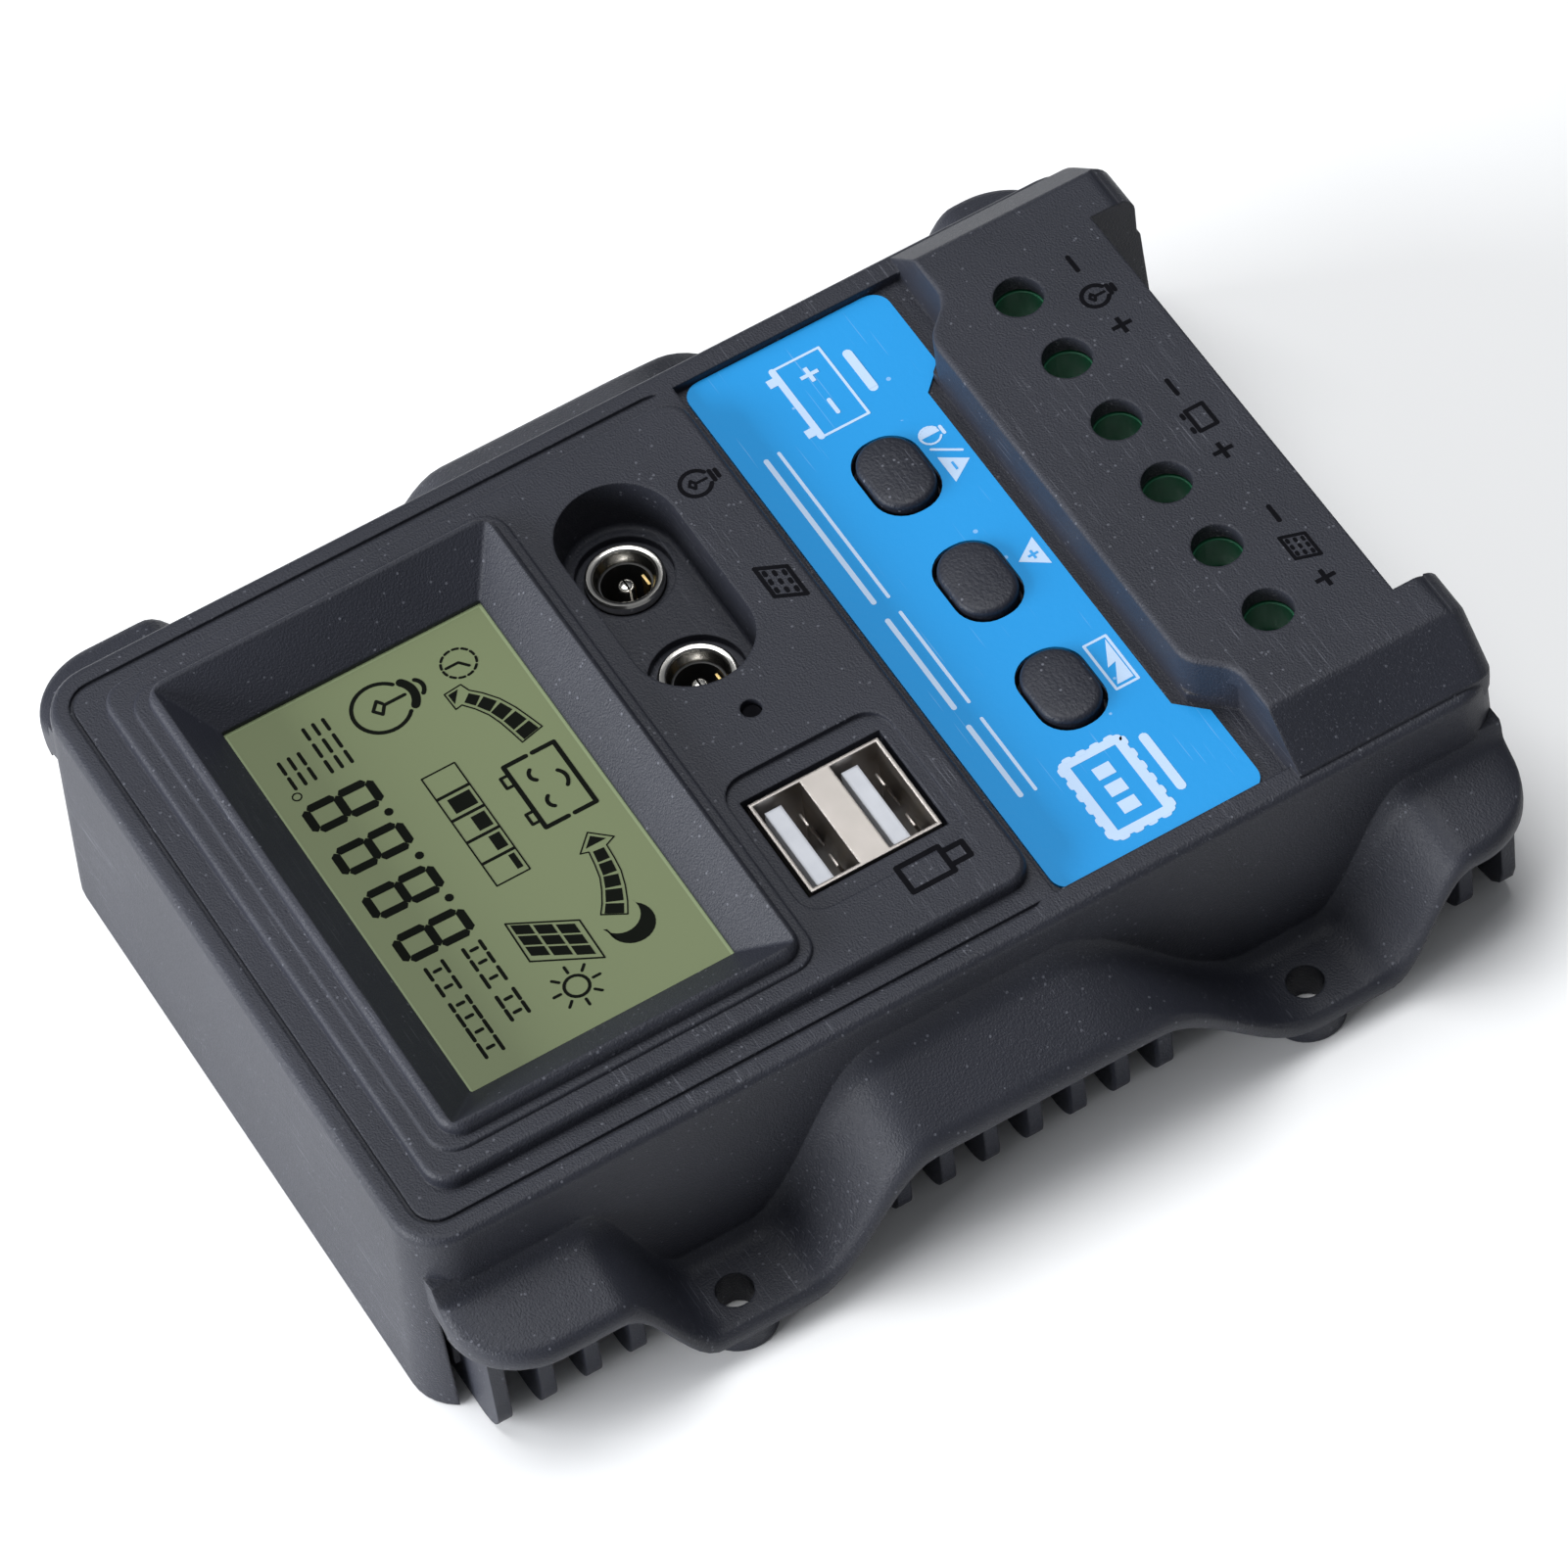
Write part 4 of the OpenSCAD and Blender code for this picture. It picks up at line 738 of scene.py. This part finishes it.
nickel, place = finish("nickel", Metallic=1.0)
turned = place.node("Mapping", Vector=place, Scale=(300, 300, 26000)).noise(1, 1)
set_sockets(nickel, Base_Color=place.noise(700).blend((0.66, 0.64, 0.60, 1), (0.78, 0.76, 0.72, 1)),
            Roughness=turned * 0.14 + 0.12)
sleeve_profile = [(3.05, JACK_FLOOR), (3.05, 23.5), (3.4, 23.95), (3.4, 24.3), (3.55, 24.5), (3.7, 24.6),
                  (4.15, 24.6), (4.4, 24.35), (4.4, JACK_FLOOR)]
pin_profile = [(0, JACK_FLOOR), (1.0, JACK_FLOOR), (1.0, 22.5), (0.85, 22.9), (0.6, 23.05), (0, 23.05)]
for number, x in enumerate(JACKS_X, 1):
    sleeve = lathe(x, sleeve_profile, 64, closed=True)
    settle(sleeve, "jack_sleeve_%d" % number, "housing", nickel, ["jack_sleeves"], sharp=40)
    split = solid(box(x - 1.2, x + 1.2, JACK_Y - 0.12, JACK_Y + 0.12, 20.5, 24))
    pin = combine(lathe(x, pin_profile, 32), [split], "DIFFERENCE")
    settle(pin, "jack_pin_%d" % number, "housing", nickel, ["jack_pins"], sharp=40)

jack_black, place = finish("jack_black", Roughness=0.5)
set_sockets(jack_black, Base_Color=place.noise(400).blend((0.006, 0.006, 0.007, 1), (0.011, 0.011, 0.012, 1)))
liner_profile = [(0, 12.65), (3.03, 12.65), (3.03, 22.9), (2.8, 22.9), (2.8, 13), (0, 13)]
for number, x in enumerate(JACKS_X, 1):
    settle(lathe(x, liner_profile, 48), "jack_liner_%d" % number, "housing", jack_black,
           sharp=40)

# ---- USB socket ----
# Two sprung tabs of folded steel in each of the two ports, made of leaning rounded plates.
# The shell, the tongues and the contacts keep their own shape.
sheet_steel, place = finish("usb_steel", Metallic=1.0)
rolled = place.node("Mapping", Vector=place, Scale=(60, 60, 1500)).noise(1, 2)
set_sockets(sheet_steel, Base_Color=place.noise(260).blend((0.40, 0.37, 0.34, 1), (0.53, 0.49, 0.46, 1)),
            Roughness=rolled * 0.2 + 0.24, Normal=place.node("Bevel", {"samples": 4}, Radius=0.0003))
USB_X, PORTS_Y, PORT_HIGH, TAB_TILT = -20.05, (9.0, -0.3), 5.7, -0.32
tabs = bmesh.new()
for port in PORTS_Y:
    for k in (-1, 1):
        lay = Matrix.Translation((USB_X + k * 3.1, port - PORT_HIGH + 0.75, 26.6)) @ Matrix.Rotation(
            TAB_TILT, 4, "X") @ Matrix.Diagonal((1.9, 0.3, 5.2, 1))
        tab = bmesh.ops.create_cube(tabs, size=1, matrix=lay)
        bmesh.ops.bevel(tabs, geom=list({e for v in tab["verts"] for e in v.link_edges}), offset=0.1,
                        segments=2, profile=0.5, affect="EDGES", material=-1)
settle(solid(tabs), "usb_tabs", "housing", sheet_steel, sharp=40)

# ---- Other parts kept from the frame ----
# Fins and floor, screws, boards, the terminal block with its cages and bars, and the
# parts on the boards: each keeps its shape and gets the finish of its real material,
# except the light guide, which gets near-black painted shade for the dark hole over it.
def painted(name, colour, light, rough, scale, metallic=0.0, bump=0.0, edge=0.0):
    material, place = finish(name, Metallic=metallic)
    spots = place.noise(scale, 3)
    set_sockets(material, Base_Color=spots.spread(0.3, 0.7).blend(colour + (1,), light + (1,)),
                Roughness=spots * 0.2 + (rough - 0.1))
    if bump or edge:
        soft = place.node("Bevel", {"samples": 4}, Radius=edge or 0.0001)
        set_sockets(material, Normal=place.node("Bump", Strength=bump or 0.1, Distance=0.0001,
                                                Height=place.noise(scale * 6, 2), Normal=soft))
    return material


base_plastic = moulded("base_plastic", (0.0185, 0.0205, 0.0295, 1), (0.0235, 0.0255, 0.0360, 1),
                       0.5, 4200, edge=0.0005)
zinc = painted("zinc", (0.55, 0.55, 0.56), (0.68, 0.68, 0.70), 0.32, 700, 1.0, 0.1, 0.0001)
black_steel = painted("black_steel", (0.03, 0.03, 0.032), (0.05, 0.05, 0.053), 0.45, 500, 0.6, 0.1, 0.0001)
black_plastic = painted("black_plastic", (0.009, 0.009, 0.010), (0.014, 0.014, 0.016), 0.5, 400,
                        bump=0.2, edge=0.0002)
board_green = painted("board_green", (0.010, 0.090, 0.030), (0.014, 0.120, 0.042), 0.35, 220, bump=0.15)
contact = painted("contact", (0.70, 0.50, 0.18), (0.82, 0.62, 0.28), 0.3, 500, 1.0)
tin = painted("tin", (0.55, 0.55, 0.52), (0.70, 0.70, 0.67), 0.35, 400, 1.0)
terminal_green = painted("terminal_green", (0.018, 0.150, 0.070), (0.024, 0.185, 0.090), 0.34, 300,
                         bump=0.15, edge=0.0003)
finishes = {
    "back_cover": base_plastic,
    "case_screws": black_steel,
    "lcd_backlight": painted("diffuser", (0.75, 0.78, 0.70), (0.82, 0.84, 0.76), 0.4, 120),
    "lcd_frame": black_plastic, "lcd_pins": tin, "display_board": board_green, "key_board": board_green,
    "front_board_screws": zinc, "display_header": black_plastic, "key_header": black_plastic,
    "tact_switches": black_plastic, "jack_housings": black_plastic, "jack_springs": contact,
    "usb_shell": sheet_steel,
    "usb_insulator": painted("usb_insulator", (0.60, 0.62, 0.67), (0.68, 0.70, 0.75), 0.4, 300,
                             bump=0.1, edge=0.0006),
    "usb_contacts": contact,
    "status_led": painted("led_lens", (0.45, 0.03, 0.02), (0.55, 0.05, 0.03), 0.25, 300),
    # The light guide is painted near-black: painted shade for the dark hole above the status light.
    "light_guide": painted_shade_black,
    "terminal_body": terminal_green, "terminal_bars": tin, "main_board": board_green, "board_screws": zinc,
    "thermal_pad": painted("thermal_pad", (0.22, 0.27, 0.36), (0.28, 0.33, 0.42), 0.8, 600, 0.0, 0.3),
    "heat_spreader": painted("spreader", (0.66, 0.67, 0.69), (0.76, 0.77, 0.79), 0.35, 200, 1.0, 0.1, 0.0003),
    "mosfets": black_plastic, "mosfet_screws": zinc,
    "capacitors": painted("capacitor_sleeve", (0.015, 0.022, 0.10), (0.022, 0.030, 0.13), 0.3, 150),
    "inductor_core": painted("core", (0.45, 0.36, 0.06), (0.55, 0.44, 0.09), 0.6, 500, 0.0, 0.2),
    "inductor_winding": painted("winding", (0.50, 0.18, 0.05), (0.62, 0.25, 0.08), 0.3, 400, 1.0),
    "controller_chip": black_plastic,
    "blade_fuse": painted("fuse", (0.55, 0.13, 0.01), (0.65, 0.18, 0.02), 0.3, 200),
}
plunger_red = painted("plunger", (0.50, 0.10, 0.03), (0.60, 0.14, 0.05), 0.35, 300)
cage_metal = painted("cage_metal", (0.48, 0.42, 0.26), (0.62, 0.55, 0.36), 0.35, 400, 1.0)
for name in KEYS:
    finishes["plunger_" + name] = plunger_red
for number in range(1, 7):
    finishes["terminal_screw_%d" % number] = zinc
    finishes["wire_cage_%d" % number] = cage_metal
for name, material in finishes.items():
    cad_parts[name].material_slots[0].material = material
